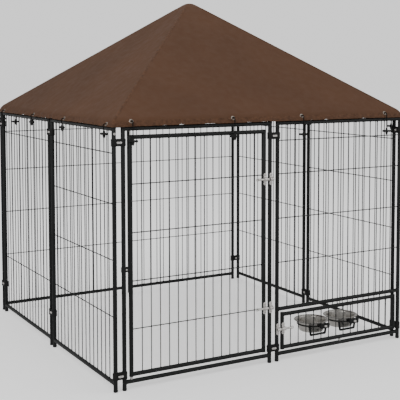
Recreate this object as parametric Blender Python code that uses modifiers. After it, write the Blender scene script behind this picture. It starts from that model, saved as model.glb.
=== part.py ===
"""Outdoor wire kennel with a pyramid canopy and a revolving bowl gate.

Metres, +Z up. The origin is the centre of the footprint on the ground and the
front is -Y. Eight wire panels stand two to a side and are clamped post to post.
Each panel starts one post pitch short of its corner, so the four sides run
round like a pinwheel and only the far post of every second panel is a corner.
"""
import math

import bmesh
import bpy
from mathutils import Matrix, Vector

# Fence panels
PANEL_WIDTH = 0.660
POST_PITCH = 0.037
POST_R = 0.008
POST_HEIGHT = 1.010
RAIL_R = 0.0078
RAIL_TO_POST_END = 0.0002
TOP_RAIL_Z = POST_HEIGHT - RAIL_R - RAIL_TO_POST_END
BOTTOM_RAIL_Z = 0.032
TUBE_SIDES = 8
WIRE_D = 0.0034
WIRE_PITCH = 0.040
# Level wires, as shares of the height from the rail under them to the rail above
PANEL_LEVELS = (0.2608, 0.4856, 0.7072, 0.9052)
REAR_LEFT_LEVELS = (0.2608, 0.9052)

# Half the side of the square through the corner posts, and half its diagonal
HALF = PANEL_WIDTH + POST_PITCH
CORNER_R = math.hypot(HALF, HALF)

# Door in the left half of the front
DOOR_SIDE_GAP = 0.013
DOOR_TOP_GAP = 0.0164
DOOR_BOTTOM_GAP = 0.0102
DOOR_TUBE_R = 0.008
DOOR_WIRE_PITCH = 0.0392
DOOR_LEVELS = (0.1919, 0.3959, 0.5999, 0.8039)

# Bowl panel and its revolving gate in the right half of the front
MID_RAIL_Z = 0.222
BOWL_PANEL_LEVELS = (0.2526, 0.4910, 0.7295, 0.9077)
GATE_SIDE_GAP = 0.011
GATE_TOP_GAP = 0.0089
GATE_BOTTOM_GAP = 0.0082
GATE_TUBE_R = 0.008

# Pivot pins of the door and the gate
PIN_R = 0.003
PIN_DEPTH = 0.010
COLLAR_R = 0.0055
PIN_SIDES = 8
BUTTON_SIDES = 12

# Clearances, and how far a cutter runs past what it cuts
GAP = 0.0003
SPAR_PLUG_GAP = 0.0005
CUT_PAST = 0.010

# Slide latches
DOOR_LATCH_HEIGHTS = {"upper": 0.774, "lower": 0.237}
GATE_LATCH_Z = 0.139
SADDLE_W = 0.0155
SADDLE_H = 0.050
SADDLE_T = 0.002
BOLT_R = 0.0045
SLEEVE_WALL = 0.0032
SLEEVE_LENGTH = 0.016
TIP_SETBACK = 0.012
BOLT_THROW = 0.027
RING_R = 0.005
RING_WIRE_R = 0.0015

# Clamps that join neighbouring posts
CLAMP_DROP = 0.059
CLAMP_HEIGHTS = {"top": POST_HEIGHT - CLAMP_DROP, "bottom": 0.060}
# Lower clamps that sit higher up the posts.
RAISED_CLAMPS = {"back_right": 0.122, "back_mid": 0.130, "back_left": 0.140, "left_mid": 0.152}
CLAMP_H = 0.028
CLAMP_WALL = 0.0019
CLAMP_WEB = 0.014
CLAMP_HEAD_W = 0.023
CLAMP_HEAD_H = 0.008
CLAMP_HEAD_T = 0.003

# Canopy: a square pyramid measured along its hips, with a rounded eave. Its peak,
# flat top and hem follow the posts' height, and its eave follows the corner posts.
ROOF_RISE = 0.532
PEAK_Z = POST_HEIGHT + ROOF_RISE
APEX_DROP = 0.0085
APEX_Z = PEAK_Z - APEX_DROP
EAVE_OVERHANG = 0.0173
EAVE_R = CORNER_R + EAVE_OVERHANG
EAVE_BEND = 0.060
HEM_GAP = 0.0035
HEM_Z = POST_HEIGHT + HEM_GAP
EAVE_RISE = 0.016
HIP_SLOPE = (PEAK_Z - HEM_Z - EAVE_RISE) / EAVE_R
HIP_ANGLE = math.atan(HIP_SLOPE)
CLOTH_T = 0.0015
CLOTH_SAG = 0.006
HIP_ROWS = 5
EAVE_ROWS = 4
CLOTH_COLUMNS = 4

# Roof spars and their hub
SPAR_R = 0.0055
SPAR_BEND = 0.037
SPAR_PLUG_DEPTH = 0.045
SPAR_PLUG_Z = POST_HEIGHT - SPAR_PLUG_DEPTH
CLOTH_TO_SPAR = 0.0008
HUB_R = 0.017
HUB_H = 0.025
HUB_TO_CLOTH = 0.0065
STUB_R = 0.004
STUB_LENGTH = 0.050
ROOF_SCREW_DROP = 0.026
ROOF_SCREW_Z = POST_HEIGHT - ROOF_SCREW_DROP
ROOF_SCREW_R = 0.0025
ROOF_SCREW_HEAD_R = 0.005
ROOF_SCREW_HEAD_T = 0.0025

# Bowls and their holders
BOWL_PITCH = 0.160
BOWL_REACH = 0.099
BOWL_RIM_R = 0.0775
BOWL_TOP_R = 0.063
BOWL_BASE_R = 0.053
BOWL_BASE_Z = 0.074
BOWL_H = 0.0495
BOWL_FLARE_H = 0.0065
BOWL_LIP_W = 0.004
BOWL_LIP_DROP = 0.0022
BOWL_LIP_FALL = 0.0006
BOWL_FOOT_H = 0.004
BOWL_FOOT_IN = 0.0035
BOWL_T = 0.001
HOOP_Z = 0.104
HOOP_WIRE_R = 0.002
STRAP_OFFSET = 0.049
STRAP_W = 0.006
STRAP_T = 0.007
STRAP_DROP = 0.0085
STRAP_TAPER = 0.006
PLATE_W = 0.046
PLATE_H = 0.020
PLATE_T = 0.003
PLATE_Z = 0.1155
ARM_W = 0.020
ARM_T = 0.003
ARM_LIFT = 0.0005
BAR_T = 0.0025
BOWL_SCREW_R = 0.003
BOWL_SCREW_HEAD_W = 0.014
BOWL_SCREW_HEAD_H = 0.008
BOWL_SCREW_HEAD_T = 0.004
ROUND_STEPS = 18


def clear_scene():
    """Remove every object and leave two collections, for parts and cutters."""
    for obj in list(bpy.data.objects):
        bpy.data.objects.remove(obj)
    parts = bpy.data.collections.new("dog_crate")
    cutters = bpy.data.collections.new("dog_crate_cutters")
    for coll in (parts, cutters):
        bpy.context.scene.collection.children.link(coll)
    return parts, cutters


PARTS, CUTTERS = clear_scene()


def make_material(name, colour, roughness, metallic):
    """Principled material, colour in linear RGB."""
    material = bpy.data.materials.new(name)
    material.use_nodes = True
    shader = material.node_tree.nodes["Principled BSDF"]
    shader.inputs["Base Color"].default_value = (*colour, 1.0)
    shader.inputs["Roughness"].default_value = roughness
    shader.inputs["Metallic"].default_value = metallic
    material.diffuse_color = (*colour, 1.0)
    return material


BLACK_COAT = make_material("black_powder_coat", (0.022, 0.022, 0.023), 0.42, 0.0)
BLACK_PLASTIC = make_material("black_clamp_shell", (0.018, 0.018, 0.018), 0.5, 0.0)
ZINC = make_material("zinc_plate", (0.50, 0.49, 0.48), 0.38, 1.0)
STEEL = make_material("stainless_steel", (0.56, 0.54, 0.52), 0.25, 1.0)
CLOTH = make_material("brown_canopy_cloth", (0.105, 0.058, 0.035), 0.85, 0.0)


def flat(radius, sides=TUBE_SIDES):
    """Distance from the axis of a many-sided tube to its flats."""
    return radius * math.cos(math.pi / sides)


def around(radius, sides=TUBE_SIDES):
    """Corner radius of a many-sided hole whose flats lie at the given radius."""
    return radius / math.cos(math.pi / sides)


def object_from(name, bm):
    """Turn a bmesh into an object in the cutters' collection."""
    mesh = bpy.data.meshes.new(name)
    bm.to_mesh(mesh)
    bm.free()
    obj = bpy.data.objects.new(name, mesh)
    CUTTERS.objects.link(obj)
    return obj


def rod(name, start, end, radius, sides=TUBE_SIDES):
    """Straight many-sided rod with a flat towards each axis it is square to."""
    start = Vector(start)
    end = Vector(end)
    span = end - start
    bm = bmesh.new()
    bmesh.ops.create_cone(
        bm, cap_ends=True, segments=sides, radius1=radius, radius2=radius, depth=span.length
    )
    bm.transform(
        Matrix.Translation((start + end) / 2)
        @ span.to_track_quat("Z", "Y").to_matrix().to_4x4()
        @ Matrix.Rotation(math.pi / sides, 4, "Z")
    )
    return object_from(name, bm)


def block(name, low, high):
    """Box between two corners."""
    low = Vector(low)
    high = Vector(high)
    bm = bmesh.new()
    bmesh.ops.create_cube(bm, size=1.0)
    bm.transform(Matrix.Translation((low + high) / 2) @ Matrix.Diagonal((*(high - low), 1.0)))
    return object_from(name, bm)


def evaluated_mesh(obj):
    """Mesh of an object with its modifiers, its loose caps welded."""
    graph = bpy.context.evaluated_depsgraph_get()
    mesh = bpy.data.meshes.new_from_object(obj.evaluated_get(graph), depsgraph=graph)
    bm = bmesh.new()
    bm.from_mesh(mesh)
    bmesh.ops.remove_doubles(bm, verts=bm.verts, dist=0.00001)
    bm.to_mesh(mesh)
    bm.free()
    return mesh


def baked(obj, name=None):
    """Replace an object, a curve too, by its evaluated mesh in world space."""
    mesh = evaluated_mesh(obj)
    mesh.transform(obj.matrix_world)
    result = bpy.data.objects.new(name or obj.name, mesh)
    CUTTERS.objects.link(result)
    bpy.data.objects.remove(obj)
    return result


def outline(name, loops, low, high):
    """Flat outline with holes, extruded along Z from low to high."""
    curve = bpy.data.curves.new(name, "CURVE")
    curve.dimensions = "2D"
    curve.fill_mode = "BOTH"
    curve.extrude = (high - low) / 2
    for loop in loops:
        spline = curve.splines.new("POLY")
        spline.points.add(len(loop) - 1)
        for point, (x, y) in zip(spline.points, loop):
            point.co = (x, y, 0.0, 1.0)
        spline.use_cyclic_u = True
    obj = bpy.data.objects.new(name, curve)
    CUTTERS.objects.link(obj)
    obj.location.z = (low + high) / 2
    bpy.context.view_layer.update()
    return baked(obj)


def ring_points(cx, cy, radius, steps, offset=0.5):
    """Points evenly round a circle, with a flat towards +X by default."""
    turn = 2.0 * math.pi / steps
    return [
        (cx + radius * math.cos((k + offset) * turn), cy + radius * math.sin((k + offset) * turn))
        for k in range(steps)
    ]


def stadium(width, height, steps=4):
    """Outline of a plate with two round ends, upright in its own plane."""
    radius = width / 2
    reach = height / 2 - radius
    points = []
    for sign, first in ((1, 0.0), (-1, math.pi)):
        for k in range(steps + 1):
            angle = first + math.pi * k / steps
            points.append((radius * math.cos(angle), sign * reach + radius * math.sin(angle)))
    return points


def upright_plate(name, points, low, high):
    """Outline drawn as seen from the front, its thickness from y = low to y = high."""
    obj = outline(name, [points], -high, -low)
    obj.data.transform(Matrix.Rotation(math.pi / 2, 4, "X"))
    return obj


def boolean(obj, other, operation):
    """Add a live Boolean with the exact solver."""
    modifier = obj.modifiers.new(operation.lower() + "_" + other.name[:40], "BOOLEAN")
    modifier.operation = operation
    modifier.solver = "EXACT"
    modifier.object = other
    return modifier


def joined(name, pieces, cuts=()):
    """Union of pieces less the cuts, as one welded body."""
    base = pieces[0]
    for other in pieces[1:]:
        boolean(base, other, "UNION")
    for other in cuts:
        boolean(base, other, "DIFFERENCE")
    bpy.context.view_layer.update()
    result = baked(base, name)
    for other in [*pieces[1:], *cuts]:
        bpy.data.objects.remove(other)
    return result


def finish(obj, name, material, origin=(0.0, 0.0, 0.0), parent=None, smooth=30.0):
    """File a finished piece with its own origin, name and material."""
    origin = Vector(origin)
    obj.data.transform(Matrix.Translation(-origin))
    obj.location = origin
    obj.name = name
    obj.data.name = name
    obj.data.materials.clear()
    obj.data.materials.append(material)
    shade(obj.data, smooth)
    CUTTERS.objects.unlink(obj)
    PARTS.objects.link(obj)
    if parent is not None:
        obj.parent = parent
        obj.location = origin - parent.location
    return obj


def shade(mesh, smooth):
    """Smooth the round surfaces and keep edges beyond the angle sharp."""
    mesh.shade_smooth()
    mesh.set_sharp_from_angle(angle=math.radians(smooth))


def as_cutter(obj):
    """Keep a cutter for a live Boolean, out of the render."""
    obj.hide_render = True
    obj.display_type = "WIRE"
    return obj


def axis_empty(name, location):
    """Empty on a joint's axis, parent of the pieces that turn about it."""
    empty = bpy.data.objects.new(name, None)
    empty.location = location
    empty.empty_display_size = 0.05
    PARTS.objects.link(empty)
    bpy.context.view_layer.update()
    return empty


def wire_lines(width, pitch):
    """Wires at a fixed pitch, centred between two tubes whose axes are width apart."""
    count = int((width - pitch) / pitch + 0.0001)
    return [(k - (count - 1) / 2) * pitch for k in range(count)]


def wire_levels(low, high, shares):
    """Heights of the level wires, with the rails' own heights first and last."""
    return (low, *(low + share * (high - low) for share in shares), high)


def wire_grid(name, columns, rows):
    """Welded mesh of upright and level wires in the XZ plane.

    The outermost columns and rows lie on the axes of the frame tubes.
    """
    bm = bmesh.new()
    across = len(columns) - 1
    up = len(rows) - 1
    bmesh.ops.create_grid(bm, x_segments=across, y_segments=up, size=0.5)
    for vert in bm.verts:
        column = round((vert.co.x + 0.5) * across)
        row = round((vert.co.y + 0.5) * up)
        vert.co = (columns[column], 0.0, rows[row])
    obj = object_from(name, bm)
    wire = obj.modifiers.new("wires", "WIREFRAME")
    wire.thickness = WIRE_D
    wire.offset = 0.0
    wire.use_even_offset = True
    wire.use_relative_offset = False
    wire.use_boundary = True
    wire.use_replace = True
    bpy.context.view_layer.update()
    return baked(obj)


def framed(name, width, low, high, bottom, top, tube_r, pitch, levels=None, extra=(), cuts=()):
    """Frame of two uprights and two rails, filled with a wire grid if levels is given."""
    half = width / 2
    pieces = [
        rod("post", (-half, 0, bottom), (-half, 0, top), tube_r),
        rod("post", (half, 0, bottom), (half, 0, top), tube_r),
        rod("rail", (-half, 0, high), (half, 0, high), RAIL_R),
    ]
    if low is not None:
        pieces.append(rod("rail", (-half, 0, low), (half, 0, low), RAIL_R))
    if levels is not None:
        columns = [-half, *wire_lines(width, pitch), half]
        pieces.insert(0, wire_grid("grid", columns, levels))
    return joined(name, [*pieces, *extra], cuts)


def wire_fill(name, width, tube_r, pitch, levels):
    """Wire mesh as a body of its own, its ends just clear of the tubes round it."""
    half = width / 2
    low, high = levels[0], levels[-1]
    upright = around(flat(tube_r) + GAP)
    level = around(flat(RAIL_R) + GAP)
    cuts = [
        rod("cut", (x, 0, low - CUT_PAST), (x, 0, high + CUT_PAST), upright) for x in (-half, half)
    ]
    for z in (low, high):
        cuts.append(rod("cut", (-half - CUT_PAST, 0, z), (half + CUT_PAST, 0, z), level))
    grid = wire_grid("grid", [-half, *wire_lines(width, pitch), half], levels)
    return joined(name, [grid], cuts)


# Place of a panel: side 0 is the front, then right, back and left; slot 0 is the
# half that starts short of the corner, slot 1 the half that ends in a corner post.
def panel_matrix(side, slot):
    """World matrix of a panel's own frame, whose -Y faces outwards."""
    shift = -PANEL_WIDTH / 2 if slot == 0 else POST_PITCH + PANEL_WIDTH / 2
    return Matrix.Rotation(side * math.pi / 2, 4, "Z") @ Matrix.Translation((shift, -HALF, 0))


# Corner posts, side by side from the front
CORNERS = ("front_right", "back_right", "back_left", "front_left")


def cut_corner(obj, key, side):
    """Open the top of a corner post for the roof spar and its wall for the screw."""
    place = panel_matrix(side, 1)
    half = PANEL_WIDTH / 2
    bore_r = around(SPAR_R + SPAR_PLUG_GAP)
    bore = rod(
        "bore_" + key, (half, 0, SPAR_PLUG_Z - GAP), (half, 0, POST_HEIGHT + 0.002), bore_r
    )
    hole = rod(
        "screw_hole_" + key,
        (half, 0, ROOF_SCREW_Z),
        (half + POST_R * 1.5, 0, ROOF_SCREW_Z),
        around(ROOF_SCREW_R + GAP, PIN_SIDES),
        PIN_SIDES,
    )
    for cutter in (bore, hole):
        cutter.matrix_world = place
        boolean(obj, as_cutter(cutter), "DIFFERENCE")


def standard_panels():
    """Six plain panels; all but the left rear one share one mesh."""
    rows = wire_levels(BOTTOM_RAIL_Z, TOP_RAIL_Z, PANEL_LEVELS)
    first = framed(
        "panel", PANEL_WIDTH, BOTTOM_RAIL_Z, TOP_RAIL_Z, 0.0, POST_HEIGHT, POST_R, WIRE_PITCH, rows
    )
    shared = finish(first, "panel_right_front", BLACK_COAT)
    shared.matrix_world = panel_matrix(1, 0)
    places = {"back_right": (2, 0), "right_rear": (1, 1), "back_left": (2, 1), "left_front": (3, 1)}
    for key, (side, slot) in places.items():
        copy = bpy.data.objects.new("panel_" + key, shared.data)
        PARTS.objects.link(copy)
        copy.matrix_world = panel_matrix(side, slot)
        if slot == 1:
            cut_corner(copy, key, side)
    rows = wire_levels(BOTTOM_RAIL_Z, TOP_RAIL_Z, REAR_LEFT_LEVELS)
    sparse = framed(
        "panel", PANEL_WIDTH, BOTTOM_RAIL_Z, TOP_RAIL_Z, 0.0, POST_HEIGHT, POST_R, WIRE_PITCH, rows
    )
    finish(sparse, "panel_left_rear", BLACK_COAT).matrix_world = panel_matrix(3, 0)


def pin_hole(x, low, high):
    """Cutter of a blind hole for a pivot pin, in a panel's own frame."""
    hole_r = around(flat(PIN_R, PIN_SIDES) + GAP, PIN_SIDES)
    return rod("hole", (x, 0, low), (x, 0, high), hole_r, PIN_SIDES)


def pivot_pin(name, place, x, low, high, collar):
    """Pin from low to high, with an optional collar as a (low, high) pair."""
    pieces = [rod("pin", (x, 0, low), (x, 0, high), PIN_R, PIN_SIDES)]
    if collar is not None:
        pieces.append(rod("collar", (x, 0, collar[0]), (x, 0, collar[1]), COLLAR_R, PIN_SIDES))
    pin = joined(name, pieces)
    pin.data.transform(place)
    return finish(pin, name, ZINC, place @ Vector((x, 0, low)))


def saddle(name, x, z, material, origin, parent):
    """Latch saddle: a round-ended plate on the tube's face with a sleeve across it."""
    back = -flat(POST_R) - GAP
    front = back - SADDLE_T
    axis = latch_axis_y()
    plate = upright_plate("plate", stadium(SADDLE_W, SADDLE_H), front, back)
    plate.data.transform(Matrix.Translation((x, 0, z)))
    half = SLEEVE_LENGTH / 2
    sleeve_r = BOLT_R + GAP + SLEEVE_WALL
    sleeve = rod("sleeve", (x - half, axis, z), (x + half, axis, z), sleeve_r)
    bore_r = around(flat(BOLT_R) + GAP)
    bore = rod("bore", (x - SADDLE_W, axis, z), (x + SADDLE_W, axis, z), bore_r)
    body = joined(name, [plate, sleeve], [bore])
    body.data.transform(Matrix.Translation((origin[0], origin[1], 0)))
    return finish(body, name, material, (origin[0] + x, origin[1], z), parent)


def latch_axis_y():
    """Distance of a latch bolt's axis in front of the panel's mid plane."""
    return -flat(POST_R) - GAP - SADDLE_T - BOLT_R - GAP - SLEEVE_WALL / 2


def latch(prefix, suffix, guide_x, keeper_x, z, guide_parent, origin):
    """Guide on the moving frame, keeper on the fixed post and the sliding bolt.

    The bolt is drawn back, and it locks when it slides by its throw.
    """
    saddle(prefix + "_guide" + suffix, guide_x, z, ZINC, origin, guide_parent)
    saddle(prefix + "_keeper" + suffix, keeper_x, z, ZINC, origin, None)
    way = math.copysign(1.0, keeper_x - guide_x)
    axis = latch_axis_y()
    tip = keeper_x - way * TIP_SETBACK
    ring_x = guide_x - way * (SLEEVE_LENGTH / 2 + RING_R + RING_WIRE_R + GAP + BOLT_THROW)
    shaft = rod("shaft", (ring_x + way * RING_R, axis, z), (tip, axis, z), BOLT_R)
    bm = bmesh.new()
    steps = 10
    bmesh.ops.create_circle(bm, segments=5, radius=RING_WIRE_R)
    bm.transform(Matrix.Translation((RING_R, 0, 0)) @ Matrix.Rotation(math.pi / 2, 4, "X"))
    bmesh.ops.spin(
        bm,
        geom=bm.verts[:] + bm.edges[:],
        cent=(0, 0, 0),
        axis=(0, 0, 1),
        angle=2 * math.pi,
        steps=steps,
        use_merge=True,
    )
    bmesh.ops.remove_doubles(bm, verts=bm.verts, dist=0.00001)
    bmesh.ops.recalc_face_normals(bm, faces=bm.faces)
    bm.transform(Matrix.Translation((ring_x, axis, z)) @ Matrix.Rotation(math.pi / 2, 4, "X"))
    ring = object_from("ring", bm)
    bolt = joined(prefix + "_bolt" + suffix, [shaft, ring])
    bolt.data.transform(Matrix.Translation((origin[0], origin[1], 0)))
    place = (origin[0] + guide_x, origin[1] + axis, z)
    finish(bolt, prefix + "_bolt" + suffix, ZINC, place, guide_parent)


def front_door():
    """Door panel, the door hung in it on two pins, and its two latches."""
    place = panel_matrix(0, 0)
    centre_x = place.translation.x
    half = PANEL_WIDTH / 2
    hinge_x = -half + POST_R + DOOR_SIDE_GAP + DOOR_TUBE_R
    door_width = PANEL_WIDTH - 2 * (POST_R + DOOR_SIDE_GAP + DOOR_TUBE_R)
    door_top = TOP_RAIL_Z - RAIL_R - DOOR_TOP_GAP
    door_bottom = BOTTOM_RAIL_Z + RAIL_R + DOOR_BOTTOM_GAP
    rail_under = TOP_RAIL_Z - flat(RAIL_R)
    rail_over = BOTTOM_RAIL_Z + flat(RAIL_R)
    top_pin = (door_top - PIN_DEPTH, rail_under + RAIL_R)
    low_pin = (rail_over - RAIL_R, door_bottom + PIN_DEPTH)
    frame = framed(
        "door_panel",
        PANEL_WIDTH,
        BOTTOM_RAIL_Z,
        TOP_RAIL_Z,
        0.0,
        POST_HEIGHT,
        POST_R,
        WIRE_PITCH,
        cuts=[
            pin_hole(hinge_x, TOP_RAIL_Z - 2 * RAIL_R, top_pin[1] + GAP),
            pin_hole(hinge_x, low_pin[0] - GAP, BOTTOM_RAIL_Z + 2 * RAIL_R),
        ],
    )
    finish(frame, "door_panel", BLACK_COAT).matrix_world = place
    high = door_top - DOOR_TUBE_R
    low = door_bottom + DOOR_TUBE_R
    door = framed(
        "door", door_width, low, high, door_bottom, door_top, DOOR_TUBE_R, DOOR_WIRE_PITCH,
        wire_levels(low, high, DOOR_LEVELS),
    )
    holes = [
        pin_hole(-door_width / 2, top_pin[0] - GAP, door_top + PIN_DEPTH),
        pin_hole(-door_width / 2, door_bottom - PIN_DEPTH, low_pin[1] + GAP),
    ]
    door = joined("door", [door], holes)
    door.data.transform(Matrix.Translation((centre_x, -HALF, 0)))
    axis_x = centre_x + hinge_x
    hinge = axis_empty("door_hinge_axis", (axis_x, -HALF, door_bottom))
    finish(door, "door", BLACK_COAT, (axis_x, -HALF, door_bottom), hinge)
    pivot_pin("door_pin_top", place, hinge_x, *top_pin, None)
    collar = (rail_over + GAP, door_bottom - GAP)
    pivot_pin("door_pin_bottom", place, hinge_x, *low_pin, collar)
    for key, z in DOOR_LATCH_HEIGHTS.items():
        latch("door", "_" + key, door_width / 2, half, z, hinge, (centre_x, -HALF))


def front_gate():
    """Bowl panel, its gate turning on two pins at mid width, and the gate latch."""
    place = panel_matrix(0, 1)
    centre_x = place.translation.x
    half = PANEL_WIDTH / 2
    gate_width = PANEL_WIDTH - 2 * (POST_R + GATE_SIDE_GAP + GATE_TUBE_R)
    gate_top = MID_RAIL_Z - RAIL_R - GATE_TOP_GAP
    gate_bottom = BOTTOM_RAIL_Z + RAIL_R + GATE_BOTTOM_GAP
    high = gate_top - GATE_TUBE_R
    low = gate_bottom + GATE_TUBE_R
    rail_under = MID_RAIL_Z - flat(RAIL_R)
    rail_over = BOTTOM_RAIL_Z + flat(RAIL_R)
    gate_over = high + flat(RAIL_R)
    gate_under = low - flat(RAIL_R)
    top_pin = (gate_over - PIN_DEPTH, rail_under + PIN_DEPTH)
    low_pin = (rail_over - RAIL_R, gate_under + PIN_DEPTH)
    mid_rail = rod("mid", (-half, 0, MID_RAIL_Z), (half, 0, MID_RAIL_Z), RAIL_R)
    low_rail = rod("low", (-half, 0, BOTTOM_RAIL_Z), (half, 0, BOTTOM_RAIL_Z), RAIL_R)
    panel = framed(
        "bowl_panel",
        PANEL_WIDTH,
        None,
        TOP_RAIL_Z,
        0.0,
        POST_HEIGHT,
        POST_R,
        WIRE_PITCH,
        extra=[mid_rail, low_rail],
        cuts=[
            pin_hole(0.0, MID_RAIL_Z - 2 * RAIL_R, top_pin[1] + GAP),
            pin_hole(0.0, low_pin[0] - GAP, BOTTOM_RAIL_Z + 2 * RAIL_R),
        ],
    )
    panel = finish(panel, "bowl_panel", BLACK_COAT)
    panel.matrix_world = place
    cut_corner(panel, "bowl_panel", 0)
    rows = wire_levels(MID_RAIL_Z, TOP_RAIL_Z, BOWL_PANEL_LEVELS)
    wires = wire_fill("wires", PANEL_WIDTH, POST_R, WIRE_PITCH, rows)
    finish(wires, "bowl_panel_wires", BLACK_COAT).matrix_world = place
    gate = framed(
        "bowl_gate",
        gate_width,
        low,
        high,
        gate_bottom,
        gate_top,
        GATE_TUBE_R,
        WIRE_PITCH,
        (low, high),
        cuts=[
            pin_hole(0.0, top_pin[0] - GAP, gate_top + PIN_DEPTH),
            pin_hole(0.0, gate_bottom - PIN_DEPTH, low_pin[1] + GAP),
        ],
    )
    gate.data.transform(Matrix.Translation((centre_x, -HALF, 0)))
    pivot = axis_empty("gate_pivot_axis", (centre_x, -HALF, gate_bottom))
    finish(gate, "bowl_gate", BLACK_COAT, (centre_x, -HALF, gate_bottom), pivot)
    pivot_pin("gate_pin_top", place, 0.0, *top_pin, None)
    collar = (rail_over + GAP, gate_under - GAP)
    pivot_pin("gate_pin_bottom", place, 0.0, *low_pin, collar)
    latch("gate", "", -gate_width / 2, -half, GATE_LATCH_Z, pivot, (centre_x, -HALF))
    for key, way in (("left", -1), ("right", 1)):
        bowl_set(key, centre_x + way * BOWL_PITCH / 2, pivot)


def turned(name, profile, steps=ROUND_STEPS, thickness=None):
    """Surface turned about Z from a profile that runs down its outer side."""
    bm = bmesh.new()
    verts = [bm.verts.new((r, 0.0, z)) for r, z in profile]
    for first, second in zip(verts, verts[1:]):
        bm.edges.new((first, second))
    obj = object_from(name, bm)
    screw = obj.modifiers.new("turn", "SCREW")
    screw.steps = steps
    screw.render_steps = steps
    screw.use_merge_vertices = True
    screw.merge_threshold = 0.00001
    if thickness is not None:
        shell = obj.modifiers.new("shell", "SOLIDIFY")
        shell.thickness = thickness
        shell.offset = -1.0
        shell.use_even_offset = True
    bpy.context.view_layer.update()
    return baked(obj)


def bowl_radius_at(z):
    """Outer radius of a bowl's tapered wall at a height."""
    top = BOWL_BASE_Z + BOWL_H - BOWL_FLARE_H
    share = (z - BOWL_BASE_Z) / (top - BOWL_BASE_Z)
    return BOWL_BASE_R + share * (BOWL_TOP_R - BOWL_BASE_R)


def bowl_set(key, x, pivot):
    """Bowl, the hoop and strap that carry it, and the clamp onto the gate's wires."""
    y = -HALF + BOWL_REACH
    rim = BOWL_BASE_Z + BOWL_H
    profile = [
        (BOWL_RIM_R, rim - BOWL_LIP_DROP),
        (BOWL_RIM_R - BOWL_LIP_W, rim - BOWL_T),
        (BOWL_TOP_R + BOWL_LIP_W, rim - BOWL_T - BOWL_LIP_FALL),
        (BOWL_TOP_R, rim - BOWL_FLARE_H),
        (bowl_radius_at(BOWL_BASE_Z + BOWL_FOOT_H), BOWL_BASE_Z + BOWL_FOOT_H),
        (BOWL_BASE_R - BOWL_FOOT_IN, BOWL_BASE_Z),
        (0.0, BOWL_BASE_Z),
    ]
    bowl = turned("bowl", profile, thickness=BOWL_T)
    bowl.data.transform(Matrix.Translation((x, y, 0)))
    finish(bowl, "bowl_" + key, STEEL, (x, y, BOWL_BASE_Z), pivot)

    wall_r = bowl_radius_at(HOOP_Z + HOOP_WIRE_R)
    hoop_r = wall_r + GAP + HOOP_WIRE_R
    hoop = turned(
        "hoop",
        [
            (hoop_r + HOOP_WIRE_R * math.cos(a), HOOP_Z + HOOP_WIRE_R * math.sin(a))
            for a in (-math.pi / 3 * k for k in range(7))
        ],
    )
    near = STRAP_OFFSET - STRAP_W / 2
    reach = math.sqrt((hoop_r - HOOP_WIRE_R) ** 2 - near**2) + STRAP_T
    foot = reach - STRAP_TAPER
    bottom = BOWL_BASE_Z - STRAP_DROP
    top = HOOP_Z + HOOP_WIRE_R / 2
    u_shape = [
        (-reach, top),
        (-foot, bottom),
        (foot, bottom),
        (reach, top),
        (reach - STRAP_T, top),
        (foot - STRAP_T, bottom + STRAP_T),
        (STRAP_T - foot, bottom + STRAP_T),
        (STRAP_T - reach, top),
    ]
    u_shape.reverse()
    strap = upright_plate("strap", u_shape, -STRAP_OFFSET - STRAP_W / 2, -STRAP_OFFSET + STRAP_W / 2)
    plate_front = -BOWL_REACH + WIRE_D / 2 + GAP
    plate_back = plate_front + PLATE_T
    plate = block(
        "plate",
        (-PLATE_W / 2, plate_front, PLATE_Z - PLATE_H / 2),
        (PLATE_W / 2, plate_back, PLATE_Z + PLATE_H / 2),
    )
    arm_z = PLATE_Z - PLATE_H / 2 + ARM_LIFT
    arm = block(
        "arm",
        (-ARM_W / 2, plate_back - ARM_T / 2, arm_z - ARM_T / 2),
        (ARM_W / 2, -hoop_r, arm_z + ARM_T / 2),
    )
    screw_z = PLATE_Z
    hole_r = around(flat(BOWL_SCREW_R, PIN_SIDES) + GAP, PIN_SIDES)
    hole = rod(
        "hole",
        (0, plate_front - CUT_PAST, screw_z),
        (0, plate_back + CUT_PAST, screw_z),
        hole_r,
        PIN_SIDES,
    )
    holder = joined("holder", [hoop, strap, arm, plate], [hole])
    holder.data.transform(Matrix.Translation((x, y, 0)))
    finish(holder, "bowl_holder_" + key, BLACK_COAT, (x, y, HOOP_Z), pivot)

    bar_back = -BOWL_REACH - WIRE_D / 2 - GAP
    bar_front = bar_back - BAR_T
    bar = block(
        "bar",
        (-PLATE_W / 2, bar_front, PLATE_Z - PLATE_H / 2),
        (PLATE_W / 2, bar_back, PLATE_Z + PLATE_H / 2),
    )
    hole = rod(
        "hole",
        (0, bar_front - CUT_PAST, screw_z),
        (0, bar_back + CUT_PAST, screw_z),
        hole_r,
        PIN_SIDES,
    )
    bar = joined("bar", [bar], [hole])
    bar.data.transform(Matrix.Translation((x, y, 0)))
    finish(bar, "bowl_clamp_bar_" + key, BLACK_COAT, (x, y + bar_back, PLATE_Z), pivot)

    head_back = bar_front - GAP
    head = upright_plate(
        "head",
        [(v, u) for u, v in reversed(stadium(BOWL_SCREW_HEAD_H, BOWL_SCREW_HEAD_W))],
        head_back - BOWL_SCREW_HEAD_T,
        head_back,
    )
    head.data.transform(Matrix.Translation((0, 0, screw_z)))
    shank = rod(
        "shank",
        (0, head_back - BOWL_SCREW_HEAD_T / 2, screw_z),
        (0, plate_back, screw_z),
        BOWL_SCREW_R,
        PIN_SIDES,
    )
    screw = joined("screw", [head, shank])
    screw.data.transform(Matrix.Translation((x, y, 0)))
    finish(screw, "bowl_screw_" + key, ZINC, (x, y + head_back, screw_z), pivot)


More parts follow.
